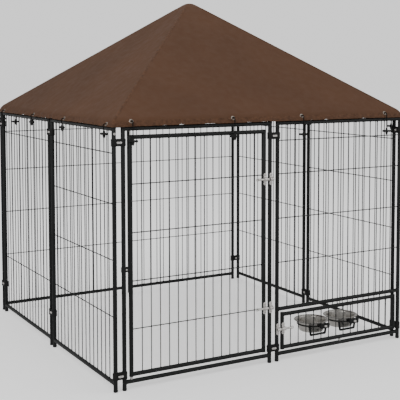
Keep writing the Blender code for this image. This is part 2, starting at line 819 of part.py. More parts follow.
def clamps():
    """Two clamps at each of the eight joints between posts, sharing one mesh."""
    hole_sides = 8
    hole_r = around(POST_R + GAP, hole_sides)
    lobe_r = hole_r + CLAMP_WALL
    half = POST_PITCH / 2
    waist = math.asin(CLAMP_WEB / 2 / lobe_r)
    steps = 4
    loop = []
    for sign in (1, -1):
        for k in range(steps + 1):
            angle = -math.pi + waist + (2 * math.pi - 2 * waist) * k / steps
            loop.append((sign * (half + lobe_r * math.cos(angle)), sign * lobe_r * math.sin(angle)))
    holes = [ring_points(sign * half, 0.0, hole_r, hole_sides) for sign in (1, -1)]
    band = outline("band", [loop, *holes], -CLAMP_H / 2, CLAMP_H / 2)
    face = -CLAMP_WEB / 2
    head = block(
        "head",
        (-CLAMP_HEAD_W / 2, face - CLAMP_HEAD_T, -CLAMP_HEAD_H / 2),
        (CLAMP_HEAD_W / 2, face + CLAMP_HEAD_T / 3, CLAMP_HEAD_H / 2),
    )
    shared = None
    names = ("front", "right", "back", "left")
    corners = ("front_left", "front_right", "back_right", "back_left")
    # The corner joint of a side lies just past its start, the other at mid side.
    spots = {"corner": -PANEL_WIDTH - half, "mid": half}
    for level, z in CLAMP_HEIGHTS.items():
        for side in range(4):
            for spot, x in spots.items():
                where = corners[side] if spot == "corner" else names[side] + "_mid"
                name = "clamp_" + where + "_" + level
                if shared is None:
                    shared = finish(joined(name, [band, head]), name, BLACK_PLASTIC)
                    obj = shared
                else:
                    obj = bpy.data.objects.new(name, shared.data)
                    PARTS.objects.link(obj)
                height = RAISED_CLAMPS.get(where, z) if level == "bottom" else z
                obj.matrix_world = (
                    Matrix.Rotation(side * math.pi / 2, 4, "Z")
                    @ Matrix.Translation((x, -HALF, height))
                )


def hip_profile():
    """Outer profile of the canopy along a hip, from the apex down to the hem."""
    corner_z = PEAK_Z - HIP_SLOPE * EAVE_R
    turn = math.pi / 2 - HIP_ANGLE
    centre_r = EAVE_R - EAVE_BEND
    centre_z = corner_z - EAVE_BEND * math.tan(turn / 2)
    flat_r = (PEAK_Z - APEX_Z) / HIP_SLOPE
    start_r = centre_r + EAVE_BEND * math.cos(turn)
    points = [(0.0, APEX_Z)]
    for k in range(HIP_ROWS + 1):
        r = flat_r + (start_r - flat_r) * k / HIP_ROWS
        points.append((r, PEAK_Z - HIP_SLOPE * r))
    last = math.asin((HEM_Z - centre_z) / EAVE_BEND)
    for k in range(1, EAVE_ROWS + 1):
        angle = turn + (last - turn) * k / EAVE_ROWS
        points.append((centre_r + EAVE_BEND * math.cos(angle), centre_z + EAVE_BEND * math.sin(angle)))
    return points


def canopy():
    """Cloth pyramid: four faces that sag a little between the hips."""
    obj = turned("canopy", hip_profile(), steps=4)
    mesh = obj.data
    mesh.transform(Matrix.Rotation(math.pi / 4, 4, "Z"))
    bm = bmesh.new()
    bm.from_mesh(mesh)
    level = [e for e in bm.edges if abs(e.verts[0].co.z - e.verts[1].co.z) < 0.00001 and e.calc_length() > 0.001]
    bmesh.ops.subdivide_edges(bm, edges=level, cuts=CLOTH_COLUMNS - 1, use_grid_fill=True)
    eave_z = PEAK_Z - HIP_SLOPE * (EAVE_R - EAVE_BEND)
    for vert in bm.verts:
        reach = max(abs(vert.co.x), abs(vert.co.y))
        if reach < 0.02:
            continue
        across = min(abs(vert.co.x), abs(vert.co.y)) / reach
        down = min(max((APEX_Z - vert.co.z) / (APEX_Z - eave_z), 0.0), 1.0)
        vert.co.z -= CLOTH_SAG * (1.0 - across**2) * math.sin(math.pi * down)
    bm.to_mesh(mesh)
    bm.free()
    finish(obj, "canopy", CLOTH, smooth=20.0)
    shell = obj.modifiers.new("cloth", "SOLIDIFY")
    shell.thickness = CLOTH_T
    shell.offset = -1.0
    shell.use_even_offset = True
    bpy.context.view_layer.update()


def spar_drop():
    """How far a spar's axis lies below the canopy's outer hip line, measured upright."""
    face = math.atan(HIP_SLOPE * math.sqrt(2.0))
    lean = math.sqrt((1.0 + math.cos(face) ** 2) / 2.0)
    return (SPAR_R + CLOTH_T + CLOTH_TO_SPAR) / lean / math.cos(HIP_ANGLE)


def roof_frame():
    """Hub with four stubs, a bent spar from each to a corner post, and the screws."""
    drop = spar_drop()
    along = Vector((math.cos(HIP_ANGLE), 0.0, -math.sin(HIP_ANGLE)))

    def on_axis(r):
        return Vector((r, 0.0, PEAK_Z - drop - HIP_SLOPE * r))

    hub_top = APEX_Z - HUB_TO_CLOTH
    start = HUB_R + SPAR_R * math.sin(HIP_ANGLE) + GAP
    stub_end = on_axis(HUB_R) + along * STUB_LENGTH
    pieces = [rod("hub", (0, 0, hub_top - HUB_H), (0, 0, hub_top), HUB_R, 16)]
    for k in range(4):
        stub = rod("stub", on_axis(HUB_R * 0.7), stub_end, STUB_R, 8)
        stub.data.transform(Matrix.Rotation(math.pi / 4 + k * math.pi / 2, 4, "Z"))
        pieces.append(stub)
    hub = joined("roof_hub", pieces)
    finish(hub, "roof_hub", BLACK_COAT, (0, 0, hub_top))

    turn = math.pi / 2 - HIP_ANGLE
    centre = Vector((CORNER_R - SPAR_BEND, 0.0, 0.0))
    centre.z = on_axis(CORNER_R).z - SPAR_BEND * math.tan(turn / 2)
    bend_steps = 5
    route = [on_axis(start)]
    for k in range(bend_steps + 1):
        angle = turn * (1 - k / bend_steps)
        route.append(centre + SPAR_BEND * Vector((math.cos(angle), 0.0, math.sin(angle))))
    route.append(Vector((CORNER_R, 0.0, SPAR_PLUG_Z)))
    curve = bpy.data.curves.new("spar", "CURVE")
    curve.dimensions = "3D"
    curve.bevel_depth = SPAR_R
    curve.bevel_resolution = 2
    curve.use_fill_caps = True
    spline = curve.splines.new("POLY")
    spline.points.add(len(route) - 1)
    for point, co in zip(spline.points, route):
        point.co = (*co, 1.0)
    obj = bpy.data.objects.new("spar", curve)
    CUTTERS.objects.link(obj)
    bpy.context.view_layer.update()
    spar = baked(obj)
    bore_r = around(STUB_R + GAP, 8)
    bore = rod("bore", on_axis(start - 0.01), stub_end + along * GAP, bore_r, 8)
    spar = joined("spar", [spar], [bore])
    shared = None
    for way, corner in enumerate(CORNERS):
        name = "roof_spar_" + corner
        if shared is None:
            shared = finish(spar, name, BLACK_COAT)
            obj = shared
        else:
            obj = bpy.data.objects.new(name, shared.data)
            PARTS.objects.link(obj)
        obj.matrix_world = Matrix.Rotation((way - 0.5) * math.pi / 2, 4, "Z")
    roof_screws()


def roof_screws():
    """Screw through the outer wall of each corner post against the spar's plug."""
    half = PANEL_WIDTH / 2
    head_at = flat(POST_R) + GAP
    shank = rod(
        "shank",
        (half + SPAR_R + GAP, 0, ROOF_SCREW_Z),
        (half + head_at + ROOF_SCREW_HEAD_T / 2, 0, ROOF_SCREW_Z),
        ROOF_SCREW_R,
        PIN_SIDES,
    )
    head = rod(
        "head",
        (half + head_at, 0, ROOF_SCREW_Z),
        (half + head_at + ROOF_SCREW_HEAD_T, 0, ROOF_SCREW_Z),
        ROOF_SCREW_HEAD_R,
        BUTTON_SIDES,
    )
    screw = joined("screw", [head, shank])
    shared = None
    for side, corner in enumerate(CORNERS):
        name = "roof_screw_" + corner
        if shared is None:
            shared = finish(screw, name, ZINC)
            obj = shared
        else:
            obj = bpy.data.objects.new(name, shared.data)
            PARTS.objects.link(obj)
        obj.matrix_world = panel_matrix(side, 1)


standard_panels()
front_door()
front_gate()
clamps()
roof_frame()
canopy()
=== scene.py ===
"""Dog crate: an outdoor wire kennel with a brown pyramid canopy and a turning bowl gate.

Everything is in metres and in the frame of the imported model: the footprint's
centre is the origin, the front is -Y and +Z is up.
"""
import math

import bmesh
import bpy
from bpy.props import FloatProperty, FloatVectorProperty, PointerProperty
from mathutils import Matrix, Vector, noise


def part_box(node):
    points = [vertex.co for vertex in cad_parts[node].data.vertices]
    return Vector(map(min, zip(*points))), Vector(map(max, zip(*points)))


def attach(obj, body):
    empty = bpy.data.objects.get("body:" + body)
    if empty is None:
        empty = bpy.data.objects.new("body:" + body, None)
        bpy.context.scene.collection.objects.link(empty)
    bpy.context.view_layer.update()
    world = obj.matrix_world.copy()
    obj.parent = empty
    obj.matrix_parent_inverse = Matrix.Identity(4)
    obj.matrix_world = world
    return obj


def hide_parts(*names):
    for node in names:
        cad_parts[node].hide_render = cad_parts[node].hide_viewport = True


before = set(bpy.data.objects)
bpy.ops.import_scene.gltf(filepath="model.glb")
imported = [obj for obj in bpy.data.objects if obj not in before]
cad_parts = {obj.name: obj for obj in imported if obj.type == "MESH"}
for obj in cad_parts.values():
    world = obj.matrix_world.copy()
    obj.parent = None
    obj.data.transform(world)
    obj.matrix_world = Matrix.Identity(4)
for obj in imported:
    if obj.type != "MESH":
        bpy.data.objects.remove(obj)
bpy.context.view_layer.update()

bl_info = {
    "name": "Dog crate",
    "version": (1, 0, 0),
    "blender": (4, 5, 0),
    "location": "3D View > Sidebar > Crate",
    "description": "Builds a wire dog kennel with a canopy and a turning bowl gate",
    "category": "Add Mesh",
}

# Plan of the fence
PANEL_WIDTH = 0.660
POST_PITCH = 0.037
HALF = PANEL_WIDTH + POST_PITCH
CORNER_R = math.hypot(HALF, HALF)
POST_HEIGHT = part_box("door_panel")[1].z
TOP_RAIL_Z = 1.002
BOTTOM_RAIL_Z = 0.032
MID_RAIL_Z = 0.222
# Heights of the level wires, as shares of the way from the lowest rail to the highest
PANEL_LEVELS = (0.2608, 0.4856, 0.7072, 0.9052)
REAR_LEFT_LEVELS = (0.2608, 0.9052)
DOOR_LEVELS = (0.1919, 0.3959, 0.5999, 0.8039)
BOWL_PANEL_LEVELS = (0.2526, 0.4910, 0.7295, 0.9077)
# Each panel's side, counted from the front, and its slot: 0 left or 1 right from outside
PANELS = {
    "panel_right_front": (1, 0),
    "panel_right_rear": (1, 1),
    "panel_back_right": (2, 0),
    "panel_back_left": (2, 1),
    "panel_left_rear": (3, 0),
    "panel_left_front": (3, 1),
    "door_panel": (0, 0),
    "bowl_panel": (0, 1),
}
SIDES = ("front", "right", "back", "left")
CORNERS = ("front_right", "back_right", "back_left", "front_left")

# Wires: uprights lie just in front of the rails' axis, with level ones welded behind them
UPRIGHT_Y = -0.0014
LEVEL_BEHIND = 0.0030
BEAD_SQUEEZE = 0.96

# Canopy: heights, and radii measured from the axis along a hip. PEAK_Z and EAVE_R are
# where the straight slopes would meet the axis and the upright hem; both are rounded off.
PEAK_Z = 1.542
EAVE_R = 1.003
EAVE_BEND = 0.060
HEM_Z = 1.0095
HIP_SLOPE = 0.511
HIP_ANGLE = math.atan(HIP_SLOPE)
EAVE_TURN = math.pi / 2 - HIP_ANGLE
EAVE_CENTRE_R = EAVE_R - EAVE_BEND
EAVE_CENTRE_Z = PEAK_Z - HIP_SLOPE * EAVE_R - EAVE_BEND * math.tan(EAVE_TURN / 2)
PEAK_ROUND = 0.034
CLOTH_SAG = 0.006
CLOTH_PLACES = 110
PEAK_ROWS = 4
SLOPE_ROWS = 30
EAVE_ROWS = 14
HIP_ROUND = 0.008
# Places of the ties along each side, and the heights of their eyelets
TIE_PLACES = (
    (-0.626, -0.179, 0.157, 0.606),
    (-0.618, -0.169, 0.169, 0.618),
    (-0.618, -0.169, 0.169, 0.618),
    (-0.618, -0.180, 0.205, 0.648),
)
EYELET_Z = (1.0290, 1.0240, 1.0240, 1.0180)

# Moving frames and hardware; the solids' tubes have flats, SOLID_TUBE_R from their axis
DOOR_WIDTH = 0.602
GATE_WIDTH = 0.606
SOLID_TUBE_R = 0.0078
PIN_R = 0.0027
LATCH_AXIS_Y = -0.7131
LATCH_SCREW_Z = 0.0173
LATCH_BACK = -0.0077
LATCH_FRONT = LATCH_BACK - 0.0020
SPAR_PEAK_Z = 1.5324
SPAR_FOOT_Z = 0.966
SPAR_BEND = 0.037
HIP_SEAM = 0.0085
TOGGLE_Y = -0.7150
CORD_IN_TOGGLE = 0.0095

# Bowls, and the clamps that hold them on the gate
BOWL_Y = -0.598
BOWL_BASE_Z = 0.074
BOWL_BASE_R = 0.053
BOWL_WALL_TALL = 0.043
BOWL_WALL_FLARE = 0.010
BOWL_RIM_Z = 0.1235
HOOP_Z = 0.104
BOWL_CLAMP_Z = 0.1155

# Camera at the photograph's view: angles in degrees, lens in millimetres
CAMERA_PLACE = (-2.0825, -3.8580, 1.2310)
CAMERA_DOWN = 3.751
CAMERA_LEFT = 30.477
CAMERA_LENS = 82.93
CAMERA_SHIFT = (-0.0585, -0.18)


# ---------------------------------------------------------------- settings


def linear(code):
    """Linear RGB from an sRGB hex code."""
    channels = [int(code[k:k + 2], 16) / 255 for k in (0, 2, 4)]
    return tuple(c / 12.92 if c <= 0.04045 else ((c + 0.055) / 1.055) ** 2.4 for c in channels)


def length(name, description, default):
    """Length setting in metres."""
    return FloatProperty(
        name=name, description=description, default=default, unit="LENGTH", precision=5
    )


def colour(name, description, code):
    """Colour setting from an sRGB hex code."""
    return FloatVectorProperty(
        name=name, description=description, default=linear(code), size=3, subtype="COLOR",
        min=0, max=1,
    )


class CrateSizes(bpy.types.PropertyGroup):
    """Sizes of the visible pieces."""

    post_radius: length("Post radius", "Outer radius of posts and frame tubes", 0.0084)
    rail_radius: length("Rail radius", "Outer radius of the rails", 0.0082)
    wire_radius: length("Wire radius", "Radius of the mesh wires", 0.0020)
    wire_pitch: length("Wire pitch", "Distance from one upright wire to the next", 0.040)
    door_wire_pitch: length("Door wire pitch", "Distance between upright wires of the door", 0.0392)
    weld_radius: length("Weld radius", "Radius of the weld bead where a rail meets a post", 0.0012)
    spar_radius: length("Spar radius", "Radius of the bent roof spars", 0.0055)
    cloth_thickness: length("Cloth thickness", "Thickness of the canopy cloth", 0.0009)
    hem_width: length("Hem width", "Width of the sewn hem of the canopy", 0.022)
    tie_cord: length("Tie cord", "Diameter of the elastic ties of the canopy", 0.0042)
    bowl_wall: length("Bowl wall", "Thickness of the bowls' sheet steel", 0.001)


class CrateColours(bpy.types.PropertyGroup):
    """Colours of the finishes."""

    powder_coat: colour("Powder coat", "Black coat of the tubes and wires", "1F2020")
    nylon: colour("Nylon", "Black moulded clamps, plugs and toggles", "1B1B1B")
    elastic: colour("Elastic", "Sheath of the canopy ties", "131313")
    zinc: colour("Zinc plate", "Latches, screws and bolt heads", "E6E3E0")
    stainless: colour("Stainless steel", "Bowls", "BEBBB6")
    eyelet: colour("Eyelet", "Plated eyelets of the canopy", "9C938A")
    cloth: colour("Canopy cloth", "Brown coated polyester", "5A3E2C")
    floor: colour("Floor", "Plain pale floor", "F4F4F4")


# ---------------------------------------------------------------- hand tools


def release_all():
    """Nothing selected, in object mode."""
    if bpy.context.object and bpy.context.object.mode != "OBJECT":
        bpy.ops.object.mode_set(mode="OBJECT")
    bpy.ops.object.select_all(action="DESELECT")


def take(obj):
    """Only this object selected and active."""
    release_all()
    obj.select_set(True)
    bpy.context.view_layer.objects.active = obj
    return obj


def edit(obj, mode="VERT"):
    """Edit mode on an object, everything in it selected."""
    take(obj)
    bpy.ops.object.mode_set(mode="EDIT")
    bpy.ops.mesh.select_mode(type=mode)
    bpy.ops.mesh.select_all(action="SELECT")


def pick(obj, kind, test):
    """In edit mode, select the verts, edges or faces that pass a test."""
    bpy.ops.mesh.select_all(action="DESELECT")
    bm = bmesh.from_edit_mesh(obj.data)
    chosen = [item for item in getattr(bm, kind) if test(item)]
    for item in chosen:
        item.select_set(True)
    if not chosen:
        raise RuntimeError(f"{obj.name}: nothing to select among its {kind}")
    bm.select_flush_mode()
    bmesh.update_edit_mesh(obj.data)


def drawn_line(name, points):
    """A line drawn point by point, left in edit mode with all of it selected."""
    release_all()
    bpy.ops.mesh.primitive_plane_add(size=0.001, location=(0, 0, 0))
    obj = bpy.context.object
    obj.name = name
    edit(obj)
    bpy.ops.mesh.merge(type="CENTER")
    bpy.ops.transform.translate(value=points[0])
    for here, there in zip(points, points[1:]):
        step = Vector(there) - Vector(here)
        bpy.ops.mesh.extrude_vertices_move(TRANSFORM_OT_translate={"value": step})
    bpy.ops.mesh.select_all(action="SELECT")
    return obj


def moved(obj, place):
    """Put a finished mesh in its place, with its object left at the origin."""
    take(obj)
    bpy.ops.object.transform_apply(location=True, rotation=True, scale=True)
    obj.data.transform(place)
    return obj


def welded(obj):
    """Close seams and poles and turn every face outwards, from edit mode."""
    bpy.ops.mesh.select_all(action="SELECT")
    bpy.ops.mesh.remove_doubles(threshold=0.000002)
    bpy.ops.mesh.normals_make_consistent(inside=False)
    bpy.ops.object.mode_set(mode="OBJECT")
    return obj


def turned(name, profile, steps=24, place=Matrix(), closed=False):
    """Lathe work: a profile of (radius, height) spun about Z."""
    points = [(r, 0.0, z) for r, z in profile]
    obj = drawn_line(name, points)
    if closed:
        bpy.ops.mesh.select_all(action="DESELECT")
        bm = bmesh.from_edit_mesh(obj.data)
        ends = [v for v in bm.verts if len(v.link_edges) == 1]
        for vert in ends:
            vert.select_set(True)
        bmesh.update_edit_mesh(obj.data)
        bpy.ops.mesh.edge_face_add()
        bpy.ops.mesh.select_all(action="SELECT")
    bpy.ops.mesh.spin(steps=steps, angle=2 * math.pi, center=(0, 0, 0), axis=(0, 0, 1))
    return moved(welded(obj), place)


def plate(name, outline, low, high, soft=0.0004, segments=2, place=Matrix()):
    """Flat outline of (x, z) given thickness from y = low to high, its edges softened."""
    obj = drawn_line(name, [(x, low, z) for x, z in outline])
    bpy.ops.mesh.edge_face_add()
    bpy.ops.mesh.extrude_region_move(TRANSFORM_OT_translate={"value": (0, high - low, 0)})
    bpy.ops.mesh.select_all(action="SELECT")
    bpy.ops.mesh.normals_make_consistent(inside=False)
    if soft:
        bpy.ops.mesh.select_mode(type="EDGE")
        pick(obj, "edges", lambda e: abs(e.verts[0].co.y - e.verts[1].co.y) < 1e-7)
        bpy.ops.mesh.bevel(offset=soft, segments=segments, affect="EDGES")
    return moved(welded(obj), place)


def rod(name, start, end, radius, sides=24, soft=0.0004):
    """Straight round bar with softened rims."""
    start = Vector(start)
    way = Vector(end) - start
    release_all()
    bpy.ops.mesh.primitive_circle_add(
        vertices=sides, radius=radius, fill_type="NGON", location=start,
        rotation=way.to_track_quat("Z", "Y").to_euler(),
    )
    obj = bpy.context.object
    obj.name = name
    edit(obj, "FACE")
    bpy.ops.mesh.extrude_region_move(TRANSFORM_OT_translate={"value": way})
    bpy.ops.mesh.select_mode(type="EDGE")
    if soft:
        pick(obj, "edges", lambda e: any(len(f.verts) > 4 for f in e.link_faces))
        bpy.ops.mesh.bevel(offset=soft, segments=2, affect="EDGES")
    return moved(welded(obj), Matrix())


def swept(name, route, radius, turns=3, closed=False):
    """Round bar that follows a route; turns sets how many sides it has."""
    curve = bpy.data.curves.new(name, "CURVE")
    curve.dimensions = "3D"
    curve.bevel_depth = radius
    curve.bevel_resolution = turns
    curve.use_fill_caps = not closed
    spline = curve.splines.new("POLY")
    spline.points.add(len(route) - 1)
    for point, place in zip(spline.points, route):
        point.co = (*place, 1.0)
    spline.use_cyclic_u = closed
    obj = bpy.data.objects.new(name, curve)
    bpy.context.scene.collection.objects.link(obj)
    take(obj)
    bpy.ops.object.convert(target="MESH")
    obj = bpy.context.object
    edit(obj)
    return welded(obj)


def joined(name, pieces):
    """Several objects made one."""
    take(pieces[0])
    for obj in pieces:
        obj.select_set(True)
    if len(pieces) > 1:
        bpy.ops.object.join()
    obj = bpy.context.object
    obj.name = name
    obj.data.name = name
    return obj


def twin(obj, name, place=Matrix()):
    """Copy with a mesh of its own, put in its place."""
    copy = obj.copy()
    copy.data = obj.data.copy()
    copy.name = name
    bpy.context.scene.collection.objects.link(copy)
    copy.data.transform(place)
    return copy


def arrayed(obj, count, step):
    """A row of like pieces in one object."""
    take(obj)
    modifier = obj.modifiers.new("row", "ARRAY")
    modifier.count = count
    modifier.use_relative_offset = False
    modifier.use_constant_offset = True
    modifier.constant_offset_displace = step
    bpy.ops.object.modifier_apply(modifier=modifier.name)
    return obj


def scrap(*objects):
    """Throw away masters that were only copied."""
    for obj in objects:
        bpy.data.objects.remove(obj)


def file_piece(obj, body, finish, nodes=(), angle=35):
    """A finished piece: smooth, painted, riding on its body, standing for its nodes.
    """
    if not obj.data.polygons:
        raise RuntimeError(f"{obj.name} has no faces")
    take(obj)
    bpy.ops.object.shade_smooth_by_angle(angle=math.radians(angle))
    obj.data.materials.clear()
    obj.data.materials.append(FINISHES[finish])
    obj.data.name = obj.name
    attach(obj, body)
    if nodes:
        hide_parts(*nodes)
    return obj


def turn(angle, axis="Z"):
    """Rotation matrix from degrees."""
    return Matrix.Rotation(math.radians(angle), 4, axis)


def shift(x=0.0, y=0.0, z=0.0):
    """Translation matrix."""
    return Matrix.Translation((x, y, z))


def middle(node):
    """Middle of a node's box."""
    return [(a + b) / 2 for a, b in zip(*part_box(node))]


def mirrored(half, waist=()):
    """Profile of (radius, height) whose upper half mirrors its lower one about the waist."""
    return [*half, *waist, *((r, -z) for r, z in reversed(half))]


def panel_place(side, slot):
    """World place of a panel's own frame, whose -Y faces outwards."""
    across = -PANEL_WIDTH / 2 if slot == 0 else POST_PITCH + PANEL_WIDTH / 2
    return turn(90 * side) @ shift(across, -HALF)


def arc(cx, cy, radius, first, last, steps):
    """Points along an arc, angles in degrees."""
    angles = [math.radians(first + (last - first) * k / steps) for k in range(steps + 1)]
    return [(cx + radius * math.cos(a), cy + radius * math.sin(a)) for a in angles]


def rounded_box(width, height, radius, steps=4, cx=0.0, cz=0.0):
    """Outline of a rectangle with round corners."""
    x = width / 2 - radius
    z = height / 2 - radius
    points = []
    for sx, sz, first in ((1, 1, 0), (-1, 1, 90), (-1, -1, 180), (1, -1, 270)):
        points += arc(cx + sx * x, cz + sz * z, radius, first, first + 90, steps)
    return points


# ---------------------------------------------------------------- finishes


def add_node(material, kind, sockets=(), **settings):
    """A shader node with its settings, each socket set or linked."""
    tree = material.node_tree
    made = tree.nodes.new("ShaderNode" + kind)
    for name, value in settings.items():
        setattr(made, name, value)
    for name, value in dict(sockets).items():
        if isinstance(value, bpy.types.NodeSocket):
            tree.links.new(value, made.inputs[name])
        else:
            made.inputs[name].default_value = value
    return made


def blank(name, **sockets):
    """New material, its shader's sockets set; underscores stand for spaces in their names."""
    material = bpy.data.materials.new(name)
    material.use_nodes = True
    shader = material.node_tree.nodes["Principled BSDF"]
    for socket, value in sockets.items():
        shader.inputs[socket.replace("_", " ")].default_value = value
    return material, shader


def shade(tint, factor):
    """Colour times a factor, with alpha."""
    return (*(c * factor for c in tint), 1.0)


def cloud(material, scale, detail, low=0.0, high=1.0):
    """Soft noise in object space, as a value from low to high."""
    where = add_node(material, "TexCoord").outputs["Object"]
    field = add_node(material, "TexNoise", {"Vector": where, "Scale": scale, "Detail": detail})
    spread = {"Value": field.outputs["Fac"], "From Min": 0.3, "From Max": 0.7}
    return add_node(material, "MapRange", {**spread, "To Min": low, "To Max": high}).outputs[0]


def two_tone(material, share, tint, dark, light):
    """The same colour between a darker and a lighter shade."""
    mix = add_node(
        material, "Mix", {0: share, 6: shade(tint, dark), 7: shade(tint, light)}, data_type="RGBA"
    )
    return mix.outputs[2]


def relief(material, height, strength, depth):
    """Bump from a height value, its depth in metres."""
    sockets = {"Height": height, "Strength": strength, "Distance": depth}
    return add_node(material, "Bump", sockets).outputs["Normal"]


def link(material, shader, **sockets):
    """Link values to the shader's sockets, whose names have spaces for underscores."""
    for name, value in sockets.items():
        material.node_tree.links.new(value, shader.inputs[name.replace("_", " ")])


def powder_coat(tint):
    """Black polyester powder coat on steel: satin, with a fine orange peel."""
    material, shader = blank("powder_coated_steel", IOR=1.5, Specular_IOR_Level=0.2)
    # Real orange peel is about 1 mm across; 2 mm here, so that it shows.
    peel = cloud(material, 500, 2)
    link(
        material, shader, Base_Color=two_tone(material, cloud(material, 9, 3), tint, 0.82, 1.30),
        Roughness=cloud(material, 60, 3, 0.36, 0.50), Normal=relief(material, peel, 0.25, 0.0002),
    )
    return material


def moulded_nylon(tint):
    """Glass-filled nylon, moulded: dull black with a faint grain."""
    material, shader = blank("moulded_nylon", IOR=1.53, Specular_IOR_Level=0.2)
    grain = cloud(material, 1100, 2)
    link(
        material, shader, Base_Color=two_tone(material, cloud(material, 40, 3), tint, 0.8, 1.25),
        Roughness=cloud(material, 200, 2, 0.48, 0.62), Normal=relief(material, grain, 0.3, 0.0001),
    )
    return material


def zinc_plate(tint):
    """Bright zinc plate on steel: grey, a little cloudy, rubbed duller in places."""
    material, shader = blank("zinc_plated_steel", Metallic=1.0)
    link(
        material, shader, Base_Color=two_tone(material, cloud(material, 180, 4), tint, 0.78, 1.1),
        Roughness=cloud(material, 320, 3, 0.40, 0.58),
        Normal=relief(material, cloud(material, 900, 2), 0.2, 0.0001),
    )
    return material


def stainless(tint):
    """Spun stainless sheet: fine rings from the lathe, softly blurred reflections."""
    material, shader = blank("spun_stainless_steel", Metallic=1.0)
    where = add_node(material, "UVMap").outputs["UV"]
    # Lathe rings are about 0.3 mm apart; 1.2 mm here, so that they show.
    rings = add_node(
        material, "TexWave", {"Vector": where, "Scale": 130.0, "Distortion": 1.5, "Detail": 2.0},
        bands_direction="Y",
    )
    link(
        material, shader, Base_Color=two_tone(material, cloud(material, 30, 4), tint, 0.86, 1.05),
        Roughness=cloud(material, 70, 4, 0.24, 0.36),
        Normal=relief(material, rings.outputs["Fac"], 0.12, 0.0001),
    )
    return material


def plated_eyelet(tint):
    """Nickel-plated brass eyelet: pale and warm, lightly worn."""
    material, shader = blank("nickel_plated_brass", Metallic=1.0)
    link(
        material, shader, Base_Color=two_tone(material, cloud(material, 260, 3), tint, 0.85, 1.08),
        Roughness=cloud(material, 300, 3, 0.30, 0.46),
    )
    return material


def elastic_sheath(tint):
    """Braided polyester over rubber: matt black with a slanting rib."""
    material, shader = blank(
        "braided_elastic_sheath", IOR=1.5, Roughness=0.85, Specular_IOR_Level=0.15
    )
    where = add_node(material, "TexCoord").outputs["Object"]
    rib = {"Vector": where, "Scale": 330.0}
    ribs = add_node(material, "TexWave", rib, bands_direction="DIAGONAL").outputs["Fac"]
    link(
        material, shader, Base_Color=two_tone(material, ribs, tint, 0.6, 1.7),
        Normal=relief(material, ribs, 0.5, 0.0003),
    )
    return material


def coated_cloth(tint, name="coated_polyester_cloth", pucker_shade=0.0):
    """Brown polyester, 600 denier, coated inside: a close weave with uneven tone.

    Where it is sewn double it puckers; the light and shade of the puckers is painted into its
    colour as small dark and light patches.
    """
    material, shader = blank(name, IOR=1.5, Specular_IOR_Level=0.2)
    where = add_node(material, "UVMap").outputs["UV"]
    # The threads are 0.5 mm apart; 2.5 mm here, so that the weave shows.
    warp = {"Vector": where, "Scale": 63.0, "Distortion": 0.3, "Detail": 1.0}
    up = add_node(material, "TexWave", warp, bands_direction="X").outputs["Fac"]
    over = add_node(material, "TexWave", warp, bands_direction="Y").outputs["Fac"]
    weave = add_node(material, "Math", {0: up, 1: over}, operation="MULTIPLY").outputs[0]
    # Where the cloth is sewn, the patches are small and strong: painted shade and painted highlight
    # of the puckers.
    patch = cloud(material, 90 if pucker_shade else 2.2, 4, 0.0, 0.8)
    tone = add_node(material, "Math", {0: weave, 1: 0.25, 2: patch}, operation="MULTIPLY_ADD")
    link(
        material, shader,
        Base_Color=two_tone(material, tone.outputs[0], tint, 0.88 - pucker_shade, 1.14 + pucker_shade),
        Roughness=cloud(material, 30, 3, 0.62, 0.78), Normal=relief(material, weave, 0.35, 0.0003),
    )
    return material


FINISHES = {}


class CRATE_OT_finishes(bpy.types.Operator):
    """Make the finishes that the other pieces take."""

    bl_idname = "crate.finishes"
    bl_label = "Finishes"

    def execute(self, context):
        tints = context.scene.crate_colours
        FINISHES["black_coat"] = powder_coat(tints.powder_coat)
        FINISHES["black_shell"] = moulded_nylon(tints.nylon)
        FINISHES["zinc"] = zinc_plate(tints.zinc)
        FINISHES["stainless"] = stainless(tints.stainless)
        FINISHES["eyelet"] = plated_eyelet(tints.eyelet)
        FINISHES["elastic"] = elastic_sheath(tints.elastic)
        FINISHES["canopy_cloth"] = coated_cloth(tints.cloth)
        # Sewn cloth has the painted shade and highlight of its puckers in its colour.
        FINISHES["sewn_cloth"] = coated_cloth(tints.cloth, "sewn_polyester_cloth", 0.22)
        return {"FINISHED"}


# ---------------------------------------------------------------- stage


